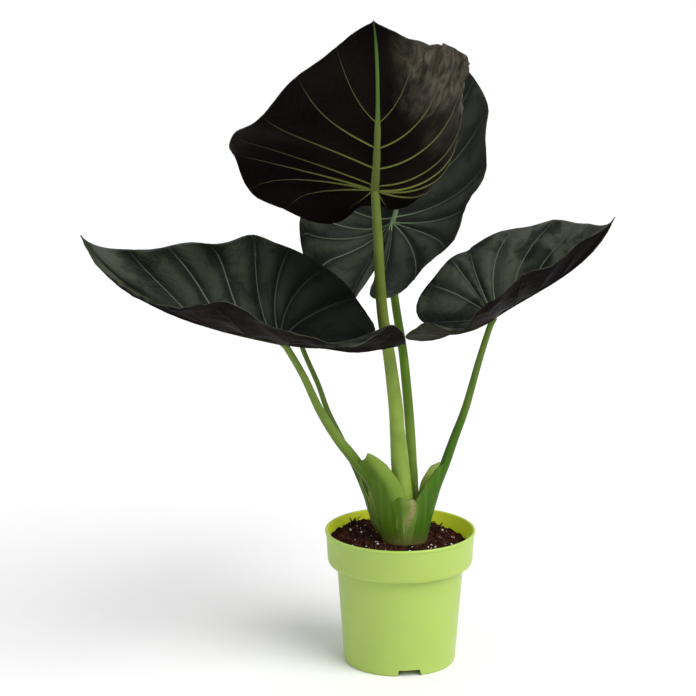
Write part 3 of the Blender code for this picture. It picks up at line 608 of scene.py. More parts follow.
class Shades:
    """The nodes of a material or a group, with short ways to add what the finishes share."""

    def __init__(self, tree):
        self.tree = tree

    def link(self, source, target):
        """Links a socket to another, or sets the target to a plain value."""
        if isinstance(source, bpy.types.NodeSocket):
            self.tree.links.new(source, target)
        else:
            target.default_value = source

    def add(self, kind, inputs=None, **values):
        """A new node with its values set and its inputs linked or set."""
        node = self.tree.nodes.new(kind)
        for key, value in values.items():
            setattr(node, key, value)
        for label, source in (inputs or {}).items():
            self.link(source, node.inputs[label])
        return node

    def maths(self, operation, *values, clamp=False):
        node = self.add("ShaderNodeMath", dict(enumerate(values)), operation=operation, use_clamp=clamp)
        return node.outputs[0]

    def plus(self, *values):
        return self.maths("ADD", *values)

    def times(self, *values, clamp=False):
        return self.maths("MULTIPLY", *values, clamp=clamp)

    def total(self, *parts):
        """Adds up sockets, each times its own factor."""
        first, *others = (self.times(*part) for part in parts)
        for other in others:
            first = self.plus(first, other)
        return first

    def ramp(self, value, low, high, start=0.0, end=1.0, kind="SMOOTHSTEP"):
        """Maps a value from low..high to start..end, held at both ends."""
        ends = {"Value": value, "From Min": low, "From Max": high, "To Min": start, "To Max": end}
        return self.add("ShaderNodeMapRange", ends, clamp=True, interpolation_type=kind).outputs["Result"]

    def blend(self, factor, low, high):
        """Mixes two colours, each a socket or three numbers."""
        ends = {"Factor": factor}
        for label, colour in (("A", low), ("B", high)):
            ends[label] = colour if isinstance(colour, bpy.types.NodeSocket) else (*colour, 1.0)
        return self.add("ShaderNodeMix", ends, data_type="RGBA").outputs["Result"]

    def paint(self, colour, *coats):
        """Lays coats over a colour, each a factor and its own colour."""
        for factor, coat in coats:
            colour = self.blend(factor, colour, coat)
        return colour

    def place(self):
        return self.add("ShaderNodeTexCoord").outputs["Object"]

    def axes(self):
        """The object's own X, Y and Z."""
        return self.add("ShaderNodeSeparateXYZ", {"Vector": self.place()}).outputs

    def noise(self, scale, detail=3.0, roughness=0.5, distortion=0.0, upward=None, where=None):
        """Noise on the object's own coordinates, drawn out upward where asked, or on other coordinates."""
        if where is None:
            where = self.place()
        if upward:
            sizes = {"Vector": where, "Scale": (1.0, 1.0, upward)}
            where = self.add("ShaderNodeMapping", sizes).outputs["Vector"]
        inputs = {"Vector": where, "Scale": scale, "Detail": detail, "Roughness": roughness,
                  "Distortion": distortion}
        return self.add("ShaderNodeTexNoise", inputs).outputs["Fac"]

    def kept(self, label):
        """A value kept on the mesh's vertices."""
        return self.add("ShaderNodeAttribute", attribute_name=label).outputs["Fac"]


class Finish(Shades):
    """A material on its way, with its Principled shader."""

    def __init__(self, name, roughness, **even):
        self.material = bpy.data.materials.new(name)
        self.material.use_nodes = True
        super().__init__(self.material.node_tree)
        self.shader = self.tree.nodes["Principled BSDF"]
        self.shader.inputs["Roughness"].default_value = roughness
        for key, value in even.items():
            self.shader.inputs[EVEN_SOCKETS[key]].default_value = value

    def done(self, colour, height=None, strength=0.0, distance=0.0, roughness=None, specular=None):
        """Links what varies to the shader, adds the bump and gives the finished material."""
        linked = {"Base Color": colour, "Roughness": roughness, "Specular IOR Level": specular}
        if height is not None:
            sizes = {"Height": height, "Strength": strength, "Distance": distance}
            linked["Normal"] = self.add("ShaderNodeBump", sizes).outputs["Normal"]
        for label, source in linked.items():
            if source is not None:
                self.link(source, self.shader.inputs[label])
        return self.material


def node_group(name, fill, inputs=()):
    """The node group of a name, filled when first asked for. The fill gives the outputs by label."""
    if name in bpy.data.node_groups:
        return bpy.data.node_groups[name]
    group = bpy.data.node_groups.new(name, "ShaderNodeTree")
    for label, start in inputs:
        socket = group.interface.new_socket(name=label, in_out="INPUT", socket_type="NodeSocketFloat")
        socket.default_value = start
    make = Shades(group)
    outputs = fill(make)
    for label in outputs:
        group.interface.new_socket(name=label, in_out="OUTPUT", socket_type="NodeSocketFloat")
    make.add("NodeGroupOutput", outputs)
    return group


def skin_outputs(make):
    """Plant skin: a mottle for colour and fine pores for height. Both vary round one half."""
    scales = make.add("NodeGroupInput").outputs
    return {"Mottle": make.noise(scales["Mottle scale"], 4.0), "Pores": make.noise(scales["Pore scale"], 2.0)}


def skin(make, mottle_scale, pore_scale):
    group = node_group("Plant skin", skin_outputs, (("Mottle scale", 25.0), ("Pore scale", 900.0)))
    scales = {"Mottle scale": mottle_scale, "Pore scale": pore_scale}
    outputs = make.add("ShaderNodeGroup", scales, node_tree=group).outputs
    return outputs["Mottle"], outputs["Pores"]


def vein_outputs(make):
    """Vein masks of a blade, from its vein map and its width attributes."""
    flat = make.add("ShaderNodeUVMap", uv_map="veins").outputs["UV"]
    split = make.add("ShaderNodeSeparateXYZ", {"Vector": flat}).outputs
    field, ring = split["X"], split["Y"]

    def drawn_out(across, up):
        sizes = {"X": make.times(field, across), "Y": make.times(ring, up)}
        return make.add("ShaderNodeCombineXYZ", sizes).outputs["Vector"]

    share = make.maths("FRACT", field)
    nearest = make.maths("MINIMUM", share, make.maths("SUBTRACT", 1.0, share))
    in_widths = make.maths("DIVIDE", make.times(nearest, make.kept("field_width")), make.kept("rib_half"))
    from_midrib = make.maths("DIVIDE", make.kept("midrib_distance"), make.kept("midrib_half"))
    steps = make.plus(make.times(ring, 9.0), make.times(nearest, 3.2))
    steps = make.plus(steps, make.times(make.noise(30.0, 2.0), 1.1))
    wave = make.maths("SINE", make.times(steps, 6.2832))
    cells = make.add("ShaderNodeTexVoronoi", {"Vector": drawn_out(2.4, 17.0), "Scale": 2.0},
                     feature="DISTANCE_TO_EDGE")
    return {
        "Ribs": make.times(make.ramp(in_widths, 0.5, 1.2, 1.0, 0.0), make.ramp(ring, 0.70, 0.98, 1.0, 0.12)),
        "Midrib": make.ramp(from_midrib, 0.7, 1.1, 1.0, 0.0),
        "Feather": make.times(make.ramp(wave, 0.35, 1.0), make.ramp(ring, 0.04, 0.25)),
        "Net": make.ramp(cells.outputs["Distance"], 0.0, 0.14, 1.0, 0.0),
        "Glow": make.ramp(in_widths, 0.5, 5.0, 1.0, 0.0),
        "Ring": ring,
        # Painted shade and light: one side of each field between ribs darker, the other lighter, as folds
        # would be lit
        "Fold": make.maths("SUBTRACT", make.ramp(share, 0.03, 0.34), make.ramp(share, 0.46, 0.92)),
        "Streaks": make.noise(3.4, 6.0, 0.62, 0.9, where=drawn_out(1.5, 2.2)),
    }


def vein_masks(make):
    return make.add("ShaderNodeGroup", node_tree=node_group("Leaf veins", vein_outputs)).outputs


def leaf_upper_material(settings):
    """The upper side: dark grey-green satin with fine pale veins that turn greener toward the stalk."""
    make = Finish("leaf_upper", 0.42)
    veins = vein_masks(make)
    mottle, pores = skin(make, 22.0, 700.0)
    # Painted sheen: broad lighter patches stand in for the satin sheen of the upper side
    painted_sheen_patches = make.noise(16.0, distortion=0.6)
    patches = make.noise(24.0, roughness=0.55, distortion=0.8)
    feather = make.times(veins["Feather"], make.ramp(make.noise(45.0, 2.0), 0.48, 0.66))
    # Painted shade on each fold's low side and painted light on its high side
    painted_fold_shade = make.times(veins["Fold"], make.ramp(veins["Ring"], 0.05, 0.3))
    painted_fold_shade = make.times(painted_fold_shade, make.ramp(patches, 0.36, 0.60, 0.25, 1.0))
    near_stalk = make.ramp(veins["Ring"], 0.02, 0.24, 1.0, 0.0)
    on_midrib = make.ramp(make.kept("along"), 0.04, 0.30, 1.0, 0.0)
    midrib = make.blend(on_midrib, (0.085, 0.125, 0.060), (0.200, 0.290, 0.150))
    # Painted shade where this kept value is above zero, on parts turned away from the light, and painted
    # light, paler, where it is below zero
    dull = make.kept("dull")
    pale = make.times(make.times(dull, -0.55, clamp=True), make.ramp(patches, 0.40, 0.60))
    colour = make.paint(
        settings.upper,
        (make.ramp(painted_sheen_patches, 0.38, 0.62), (0.0300, 0.0370, 0.0235)),
        (make.ramp(mottle, 0.45, 0.75, 0.0, 0.30), (0.0075, 0.0105, 0.0065)),
        (make.ramp(painted_fold_shade, 0.0, 0.6, 0.75, 0.0), (0.0045, 0.0060, 0.0042)),
        (make.times(painted_fold_shade, 0.62), (0.058, 0.064, 0.043)),
        (make.ramp(veins["Streaks"], 0.56, 0.70, 0.0, 0.35), (0.044, 0.052, 0.036)),
        (make.times(veins["Glow"], 0.22), (0.034, 0.046, 0.028)),
        (make.times(feather, 0.22), (0.040, 0.052, 0.033)),
        (make.times(veins["Net"], 0.04), settings.vein_above),
        (veins["Ribs"], make.blend(near_stalk, settings.vein_above, (0.190, 0.280, 0.150))),
        (make.times(veins["Midrib"], 0.9), midrib),
        (make.times(dull, 0.85, clamp=True), (0.0030, 0.0036, 0.0032)),
        (pale, (0.10, 0.11, 0.08)),
    )
    height = make.total((feather, -0.6), (veins["Streaks"], 2.0), (veins["Net"], -0.12),
                        (veins["Ribs"], -0.8), (pores, 0.35), (mottle, 2.6))
    return make.done(colour, height, 0.6, 0.0006, roughness=make.ramp(mottle, 0.3, 0.7, 0.40, 0.54),
                     specular=make.ramp(dull, 0.0, 1.0, 0.14, 0.03))


def leaf_under_material(name, settings, veins_low, veins_high, midrib_low, midrib_high):
    """The underside: purple-black, with ribs that grey toward the edge, and a painted grey sheen on crumpled
    margins.
    """
    make = Finish(name, 0.45, specular=0.004)
    veins = vein_masks(make)
    mottle, pores = skin(make, 18.0, 700.0)
    # Painted sheen: lighter grey streaks on the crumpled margins stand in for their silky highlights
    silk = make.times(make.ramp(veins["Streaks"], 0.24, 0.86, 0.10, 1.0), make.kept("silk"))
    silk = make.times(silk, make.ramp(make.noise(17.0, 2.0), 0.40, 0.58, 0.25, 1.0))
    ribs = make.blend(make.ramp(veins["Ring"], 0.05, 0.75), veins_low, veins_high)
    along = make.kept("along")
    midrib = make.paint(
        midrib_low, (make.ramp(along, 0.38, 0.50), midrib_high),
        (make.ramp(along, 0.72, 0.95, 0.0, 0.6), (0.030, 0.050, 0.012)),
    )
    colour = make.paint(
        settings.under,
        (make.ramp(make.noise(9.0, 2.0), 0.35, 0.7), (0.0082, 0.0060, 0.0045)),
        (make.times(silk, 0.72), (0.165, 0.146, 0.104)),
        # Painted light: the underside is paler where the kept shading value is below zero
        (make.times(make.kept("dull"), -0.5, clamp=True), (0.06, 0.064, 0.04)),
        (make.times(veins["Feather"], 0.03), (0.030, 0.028, 0.018)),
        (make.times(veins["Ribs"], 0.95), ribs),
        (veins["Midrib"], midrib),
    )
    height = make.total((veins["Feather"], 0.25), (veins["Ribs"], 1.2), (pores, 0.35), (silk, 1.0),
                        (mottle, 2.4))
    return make.done(colour, height, 0.6, 0.0006, roughness=make.ramp(mottle, 0.3, 0.7, 0.38, 0.55))


def soil_tinge(make, mottle):
    """The brown coat at a stalk's foot, uneven at its top."""
    height = make.plus(make.axes()["Z"], make.times(mottle, 0.016))
    return make.ramp(height, 0.148, 0.168, 0.85, 0.0), (0.120, 0.095, 0.035)


def stalk_material(name, settings, lower, change, edge_share, upper=None, top=None, band=(0.30, 0.95)):
    """A stalk: paler at its foot, with fine lines, a brown tinge at the soil and maybe a pale top."""
    make = Finish(name, 0.46, specular=0.15, scatter=0.10, scatter_radius=(0.006, 0.008, 0.001),
                  scatter_scale=0.5)
    mottle, pores = skin(make, 40.0, 1200.0)
    lines = make.noise(160.0, 3.0, 0.6, upward=0.035)
    height = make.axes()["Z"]
    colour = make.paint(
        lower,
        (make.ramp(height, *change), upper or settings.colour),
        (make.ramp(lines, 0.42, 0.68, 0.0, 0.14), settings.pale),
        (make.ramp(mottle, 0.3, 0.7, 0.0, 0.30), [0.55 * part for part in settings.colour]),
        (make.ramp(make.kept("edge"), *band, 0.0, edge_share), (0.180, 0.280, 0.040)),
        soil_tinge(make, mottle),
    )
    if top:
        colour = make.blend(make.ramp(height, *top, 0.0, 0.95), colour, (0.180, 0.260, 0.130))
    return make.done(colour, make.total((lines, 1.5), (pores, 0.3)), 0.35, 0.0004)


def skin_material():
    """The stem's closed front: green like the sheaths, with a tan scar down it, dark flecks and a painted
    highlight along its left edge.
    """
    make = Finish("stem_skin", 0.48, specular=0.15)
    mottle, pores = skin(make, 60.0, 1200.0)
    lines = make.noise(220.0, 4.0, 0.6, upward=0.08)
    side = make.kept("side")
    # Painted highlight: a pale line along the skin's left edge
    rim = make.times(make.ramp(side, 0.015, 0.045, 0.75, 0.0), make.ramp(mottle, 0.35, 0.55))
    streaks = make.times(make.ramp(lines, 0.54, 0.64), make.ramp(make.axes()["Z"], 0.155, 0.185, 0.7, 0.0))
    scar = make.times(make.kept("scar"), make.ramp(lines, 0.38, 0.62, 0.25, 1.0))
    scar = make.ramp(scar, 0.15, 0.95, 0.0, 0.66)
    flecks = make.times(make.ramp(make.noise(420.0, 3.0, 0.6), 0.55, 0.64), scar)
    colour = make.paint(
        (0.060, 0.125, 0.004),
        (make.ramp(side, 0.36, 0.62), (0.135, 0.215, 0.036)),
        (make.ramp(side, 0.70, 0.98), (0.060, 0.135, 0.008)),
        (rim, (0.250, 0.330, 0.120)),
        (make.ramp(mottle, 0.35, 0.65, 0.0, 0.35), (0.060, 0.115, 0.010)),
        (streaks, (0.260, 0.330, 0.130)),
        (scar, (0.300, 0.235, 0.115)),
        (flecks, (0.090, 0.035, 0.018)),
        soil_tinge(make, mottle),
    )
    return make.done(colour, make.plus(lines, make.times(pores, 0.3)), 0.5, 0.0006)


def pot_material(settings):
    """Smooth moulded plastic with light scuffs, and painted light inside its collar: yellower there, where
    light passes the wall.
    """
    make = Finish("lime_plastic", 0.42, scatter=0.45, scatter_radius=(0.010, 0.013, 0.002), scatter_scale=0.6)
    mottle, pores = skin(make, 12.0, 600.0)
    scuffs = make.noise(35.0, 6.0, 0.7, 0.5, upward=3.0)
    ledge = POT_HEIGHT - BAND_HEIGHT
    where = make.axes()
    squares = (make.maths("POWER", make.maths("ABSOLUTE", where[axis]), 2.0) for axis in "XY")
    wall = make.ramp(where["Z"], ledge, POT_HEIGHT, BAND_RADIUS - WALL, RIM_RADIUS - LIP_WIDTH, "LINEAR")
    from_wall = make.maths("SUBTRACT", make.maths("SQRT", make.plus(*squares)), wall)
    # Painted light: inside the collar the plastic is painted yellower and brighter, standing in for light
    # that passes the wall
    within = make.times(make.ramp(from_wall, 0.0002, 0.0008, 1.0, 0.0),
                        make.ramp(where["Z"], ledge + 0.003, ledge + 0.005))
    colour = make.paint(
        settings.colour,
        (make.ramp(mottle, 0.3, 0.7), [0.94 * part for part in settings.colour]),
        (make.ramp(scuffs, 0.62, 0.75, 0.0, 0.10), (0.50, 0.62, 0.26)),
        (within, (0.66, 0.72, 0.040)),
    )
    return make.done(colour, pores, 0.12, 0.0003, roughness=make.ramp(scuffs, 0.4, 0.75, 0.38, 0.52))


def soil_material(name, colour, light, scale):
    """Moist peat: reddish brown fibres over near-black crumbs."""
    make = Finish(name, 0.8, specular=0.08)
    grains = make.noise(scale, 6.0, 0.65)
    fine = make.noise(scale * 4, 4.0, 0.7)
    colour = make.paint(
        colour,
        (make.ramp(grains, 0.42, 0.68), light),
        (make.ramp(make.noise(190.0, 2.0), 0.50, 0.62, 0.0, 0.75), (0.004, 0.0016, 0.0012)),
        (make.ramp(fine, 0.58, 0.72, 0.0, 0.6), (0.075, 0.032, 0.018)),
    )
    return make.done(colour, make.plus(grains, fine), 0.8, 0.0010,
                     roughness=make.ramp(fine, 0.3, 0.7, 0.55, 0.95))


def perlite_material():
    """Chalky white grains with small pits."""
    make = Finish("perlite_white", 0.9)
    pits = make.noise(1400.0, 4.0, 0.7)
    colour = make.blend(make.ramp(pits, 0.35, 0.65), (0.50, 0.46, 0.42), (0.82, 0.80, 0.77))
    return make.done(colour, pits, 0.7, 0.0004)


def dry_material():
    """The stem base's papery outside: tan, with brown lines up it."""
    make = Finish("dry_sheath", 0.7)
    lines = make.noise(260.0, 5.0, 0.65, upward=0.06)
    colour = make.paint(
        (0.045, 0.030, 0.013),
        (make.ramp(lines, 0.35, 0.65), (0.110, 0.075, 0.035)),
        (make.ramp(make.noise(120.0, 4.0, 0.6), 0.56, 0.68, 0.0, 0.7), (0.030, 0.014, 0.007)),
    )
    return make.done(colour, lines, 0.6, 0.0005)


# Pot


def inner_wall():
    """The pot's inside from the edge of its floor up to the collar, one wall inside the outer face."""
    floor_top = FLOOR_LIFT + WALL
    ledge = POT_HEIGHT - BAND_HEIGHT + WALL
    foot, body, collar = (radius - WALL for radius in (BASE_RADIUS, BODY_TOP_RADIUS, BAND_RADIUS))
    return (
        (foot - FILLET, floor_top), (foot, floor_top + FILLET),
        (body, ledge - EDGE_ROUND), (body + EDGE_ROUND, ledge),
        (collar - 2.5 * FILLET, ledge), (collar, ledge + 3 * FILLET),
    )


def pot_profile():
    """The wall from the inner lip down the outside, under the raised floor with its foot, and up inside."""
    floor_top = FLOOR_LIFT + WALL
    step = POT_HEIGHT - BAND_HEIGHT
    ring = BASE_RADIUS - FOOT_RING_WIDTH
    return (
        (RIM_RADIUS - LIP_WIDTH, POT_HEIGHT - EDGE_ROUND), (RIM_RADIUS - LIP_WIDTH + EDGE_ROUND, POT_HEIGHT),
        (RIM_RADIUS - EDGE_ROUND, POT_HEIGHT), (RIM_RADIUS, POT_HEIGHT - EDGE_ROUND),
        (RIM_RADIUS, POT_HEIGHT - LIP_DEPTH + EDGE_ROUND), (RIM_RADIUS - LIP_PROUD, POT_HEIGHT - LIP_DEPTH),
        (BAND_RADIUS, step + 5 * FILLET), (BAND_RADIUS - FILLET, step + 2 * FILLET),
        (BAND_RADIUS - 3.5 * FILLET, step),
        (BODY_TOP_RADIUS + EDGE_ROUND, step), (BODY_TOP_RADIUS, step - FILLET),
        (BASE_RADIUS + EDGE_ROUND, 2.5 * FILLET), (BASE_RADIUS, EDGE_ROUND), (BASE_RADIUS - EDGE_ROUND, 0.0),
        (ring, 0.0), (ring, FLOOR_LIFT - EDGE_ROUND), (ring - FILLET, FLOOR_LIFT),
        (FOOT_RADIUS + FILLET, FLOOR_LIFT), (FOOT_RADIUS, FLOOR_LIFT - FILLET), (FOOT_RADIUS, 0.0),
        (0.0, 0.0), (0.0, floor_top), *inner_wall(),
    )


def turned(profile, steps, rounding=0.0):
    """Spins a closed profile of (radius, height) points round Z, with its corners rounded first."""
    bm = bmesh.new()
    points = [bm.verts.new((r, 0.0, z)) for r, z in profile]
    for pair in zip(points, points[1:] + points[:1]):
        bm.edges.new(pair)
    if rounding:
        corners = [vert for vert in points if vert.co.x > rounding]
        bmesh.ops.bevel(bm, geom=corners, offset=rounding, offset_type="OFFSET", affect="VERTICES",
                        segments=3, profile=0.5, material=-1, clamp_overlap=True)
    bmesh.ops.spin(bm, geom=bm.verts[:] + bm.edges[:], cent=(0, 0, 0), axis=(0, 0, 1), angle=2 * math.pi,
                   steps=steps, use_merge=True)
    bmesh.ops.remove_doubles(bm, verts=bm.verts, dist=1e-6)
    bmesh.ops.recalc_face_normals(bm, faces=bm.faces)
    return bm


def notch_cutters():
    """Wedges that are wider at the ground, across the foot ring."""
    bm = bmesh.new()
    for number in range(NOTCH_COUNT):
        wedge = bmesh.ops.create_cube(bm, size=1.0)["verts"]
        for vert in wedge:
            low = vert.co.z < 0
            width = NOTCH_WIDTH_LOW if low else NOTCH_WIDTH_TOP
            height = -NOTCH_BELOW if low else NOTCH_HEIGHT
            vert.co = Vector((BASE_RADIUS + vert.co.x * NOTCH_REACH, vert.co.y * width, height))
        turn = NOTCH_TURN + 2 * math.pi * number / NOTCH_COUNT
        bmesh.ops.rotate(bm, verts=wedge, cent=(0, 0, 0), matrix=Matrix.Rotation(turn, 3, "Z"))
    return as_object("notches", bm)


class OBJECT_OT_alocasia_pot(Operator):
    """Build the lime grow pot with its collar, raised floor and drainage notches"""

    bl_idname = "object.alocasia_pot"
    bl_label = "Pot"
    bl_options = {"REGISTER", "UNDO"}

    def execute(self, context):
        settings = context.scene.alocasia_pot
        pot = piece("grow_pot", turned(pot_profile(), settings.steps, CORNER_ROUND), [pot_material(settings)],
                    ["pot"])
        cutters = notch_cutters()
        cut = pot.modifiers.new("notches", "BOOLEAN")
        cut.object = cutters
        cut.operation = "DIFFERENCE"
        cut.solver = "EXACT"
        result = bpy.data.meshes.new_from_object(pot.evaluated_get(context.evaluated_depsgraph_get()))
        pot.modifiers.clear()
        pot.data = result
        bpy.data.objects.remove(cutters)
        smooth(result)
        return {"FINISHED"}


# Soil and stem base


def from_stem(x, y):
    return math.hypot(x - STEM_CENTRE.x, y - STEM_CENTRE.y)


def lumps(x, y):
    """Uneven potting soil, as a sum of a few waves of unlike length and direction."""
    return sum(size * math.sin(a * x + b * y + phase) for a, b, phase, size in LUMP_WAVES)


def soil_height(x, y):
    """The soil's level: higher on the left than on the right, with a shallow dip round the stem."""
    dip = SOIL_DIP * math.exp(-((from_stem(x, y) / SOIL_DIP_WIDTH) ** 2))
    return SOIL_LEVEL - dip - SOIL_SLOPE * x + SOIL_LUMPS * lumps(x, y)


def crumbled(x, y):
    """The soil's level with its crumbs, its heap at the stem and where it falls away from the wall."""
    coarse, middle, fine = (
        height * fine_noise((x, y, 0.0), size, seed) for height, size, seed in CRUMB_NOISE)
    heap = HEAP_HEIGHT * math.exp(-(((from_stem(x, y) - HEAP_RADIUS) / HEAP_WIDTH) ** 2))
    near_wall = min(1.0, max(0.0, (math.hypot(x, y) - DIP_START) / DIP_WIDTH)) ** 1.5
    sunk = 0.0
    for heading, depth in WALL_DIPS:
        sunk += depth * max(0.0, math.cos(math.atan2(y, x) - heading)) ** 3 * near_wall
    return soil_height(x, y) + heap + (coarse + middle) - sunk + fine


def scattered(rng, count):
    """Seeded random places on the soil, clear of the stem."""
    places = []
    while len(places) < count:
        x, y = rng.uniform(-GRAIN_OUTER, GRAIN_OUTER), rng.uniform(-GRAIN_OUTER, GRAIN_OUTER)
        if math.hypot(x, y) < GRAIN_OUTER and from_stem(x, y) > GRAIN_INNER:
            places.append((x, y))
    return places


def add_grain(bm, rng, x, y, size, subdivisions=1):
    """One rough grain, partly sunk into the soil."""
    made = bmesh.ops.create_icosphere(bm, subdivisions=subdivisions, radius=1.0)["verts"]
    scale = Vector([size * rng.uniform(*GRAIN_STRETCH) for _ in range(3)])
    spin = Matrix.Rotation(rng.uniform(0, ANY_TURN), 3, "Z")
    turn = spin @ Matrix.Rotation(rng.uniform(0, ANY_TURN), 3, "X")
    centre = Vector((x, y, crumbled(x, y) + size * rng.uniform(*GRAIN_LIFT)))
    for vert in made:
        rough = 1.0 + rng.uniform(-GRAIN_ROUGHNESS, GRAIN_ROUGHNESS)
        stretched = Vector([part * stretch * rough for part, stretch in zip(vert.co, scale)])
        vert.co = centre + turn @ stretched


def add_fibre(bm, rng, x, y, length=None, heading=None, lift=None, radius=None):
    """One thin fibre, a grid closed into a tube. With a heading it is straight and rises from the crumbs."""
    made = bmesh.ops.create_grid(bm, x_segments=FIBRE_SIDES, y_segments=FIBRE_ROWS, size=1.0)["verts"]
    straight = heading is not None
    bend = BARK_BEND if straight else rng.uniform(-FIBRE_BEND, FIBRE_BEND)
    length = length or rng.uniform(*FIBRE_LENGTHS)
    radius = radius or rng.uniform(*FIBRE_RADII)
    heading = heading if straight else rng.uniform(0, 2 * math.pi)
    lift = lift or rng.uniform(*FIBRE_LIFTS)
    for vert in made:
        turn, share = math.pi * vert.co.x, (vert.co.y + 1) / 2
        angle = heading + bend * (share - 0.5)
        middle = Vector((x, y, 0)) + Vector((math.cos(angle), math.sin(angle), 0)) * length * (share - 0.5)
        if straight:
            middle.z = crumbled(x, y) + lift * share
        else:
            middle.z = crumbled(middle.x, middle.y) + lift * (0.4 + math.sin(math.pi * share))
        wide = radius * (0.35 + math.sin(math.pi * share) ** 0.5)
        side = Vector((-math.sin(angle), math.cos(angle), 0))
        vert.co = middle + wide * (math.cos(turn) * side + Vector((0, 0, math.sin(turn))))
    bmesh.ops.remove_doubles(bm, verts=made, dist=CLOSE_WITHIN)


class OBJECT_OT_alocasia_soil(Operator):
    """Build the potting soil with its crumbs, white perlite and fibres"""

    bl_idname = "object.alocasia_soil"
    bl_label = "Soil"
    bl_options = {"REGISTER", "UNDO"}

    def execute(self, context):
        settings = context.scene.alocasia_soil
        peat = soil_material("peat", settings.colour, (0.085, 0.024, 0.012), 300.0)
        loose = soil_material("crumbs", (0.014, 0.0040, 0.0025), (0.150, 0.044, 0.022), 420.0)
        woody = soil_material("fibres", (0.008, 0.004, 0.003), (0.060, 0.026, 0.014), 600.0)
        profile = [(0.0, SOIL_LEVEL)]
        for number in range(1, SOIL_RINGS + 1):
            profile.append((SOIL_EDGE * (number / SOIL_RINGS) ** SOIL_SPACING, SOIL_LEVEL))
        profile += SOIL_BELOW
        bm = turned(profile, SOIL_SIDES)
        for vert in bm.verts:
            if vert.co.z > SOIL_LEVEL - 1e-5:
                vert.co.z = crumbled(vert.co.x, vert.co.y)
        piece("potting_soil", bm, [peat], ["soil"])
        rng = random.Random(SOIL_SEED)
        crumbs, perlite, fibres = bmesh.new(), bmesh.new(), bmesh.new()
        for x, y in scattered(rng, settings.crumbs):
            add_grain(crumbs, rng, x, y, settings.crumb_size * rng.uniform(0.35, 1.0) ** 1.5)
        for x, y in scattered(rng, settings.perlite):
            add_grain(perlite, rng, x, y, settings.perlite_size * rng.uniform(0.3, 1.0), 2)
        for x, y in scattered(rng, settings.fibres):
            add_fibre(fibres, rng, x, y)
        for x, y, length, heading, lift, thickness in BARK_BITS:
            add_fibre(fibres, rng, x, y, length, heading, lift, thickness)
        piece("soil_crumbs", crumbs, [loose])
        piece("perlite_grains", perlite, [perlite_material()])
        piece("soil_fibres", fibres, [woody])
        return {"FINISHED"}


class OBJECT_OT_alocasia_stem(Operator):
    """Build the short rippled stem base that carries the stalks"""

    bl_idname = "object.alocasia_stem"
    bl_label = "Stem base"
    bl_options = {"REGISTER", "UNDO"}

    def execute(self, context):
        profile = [(0.0, STEM_TOP - STEM_DEPTH), (0.0, STEM_TOP), (STEM_RADIUS - 0.0012, STEM_TOP)]
        for k in range(STEM_RIPPLES):
            ripple = 0.0005 * math.cos(k * 1.9) - 0.0002 * k
            profile.append((STEM_RADIUS - 0.0002 + ripple, STEM_TOP - 0.0008 - 0.0010 * k))
        profile.append((STEM_RADIUS - 0.012, STEM_TOP - 0.036))
        bm = turned(profile, STEM_SIDES)
        for vert in bm.verts:
            if vert.co.z < STEM_TOP - 1e-5 and vert.co.xy.length > 0.005:
                vert.co.xy *= 1.0 + 0.02 * fine_noise(vert.co, 0.006, 5.0)
        bmesh.ops.translate(bm, verts=bm.verts, vec=STEM_CENTRE)
        piece("stem_crown", bm, [dry_material()], ["stem_base"])
        return {"FINISHED"}


# Stalks


def unit(rows):
    return rows / np.linalg.norm(rows, axis=1)[:, None]


def compass(angle):
    """Level directions at angles in radians."""
    return np.stack([np.cos(angle), np.sin(angle)], axis=1)


def path_at(name, z, columns=(0, 1)):
    """A stalk's middle, or other columns of its path, at heights in its sheath's range, in millimetres."""
    dense = smooth_curve(STALKS[name]["path"], np.linspace(0, 1, 200))
    return np.stack([np.interp(z, dense[:, 2], dense[:, k]) for k in columns], axis=1)


def sheath_at(name, z):
    """The axis that a sheath bends round at each height, its radius, its back and how far its wings reach."""
    rows = np.array(STALKS[name]["sheath"], float)
    radius, back, left, right = (np.interp(z, rows[:, 0], rows[:, k]) for k in range(1, 5))
    return path_at(name, z) - radius[:, None] * compass(np.radians(back)), radius, back, left, right


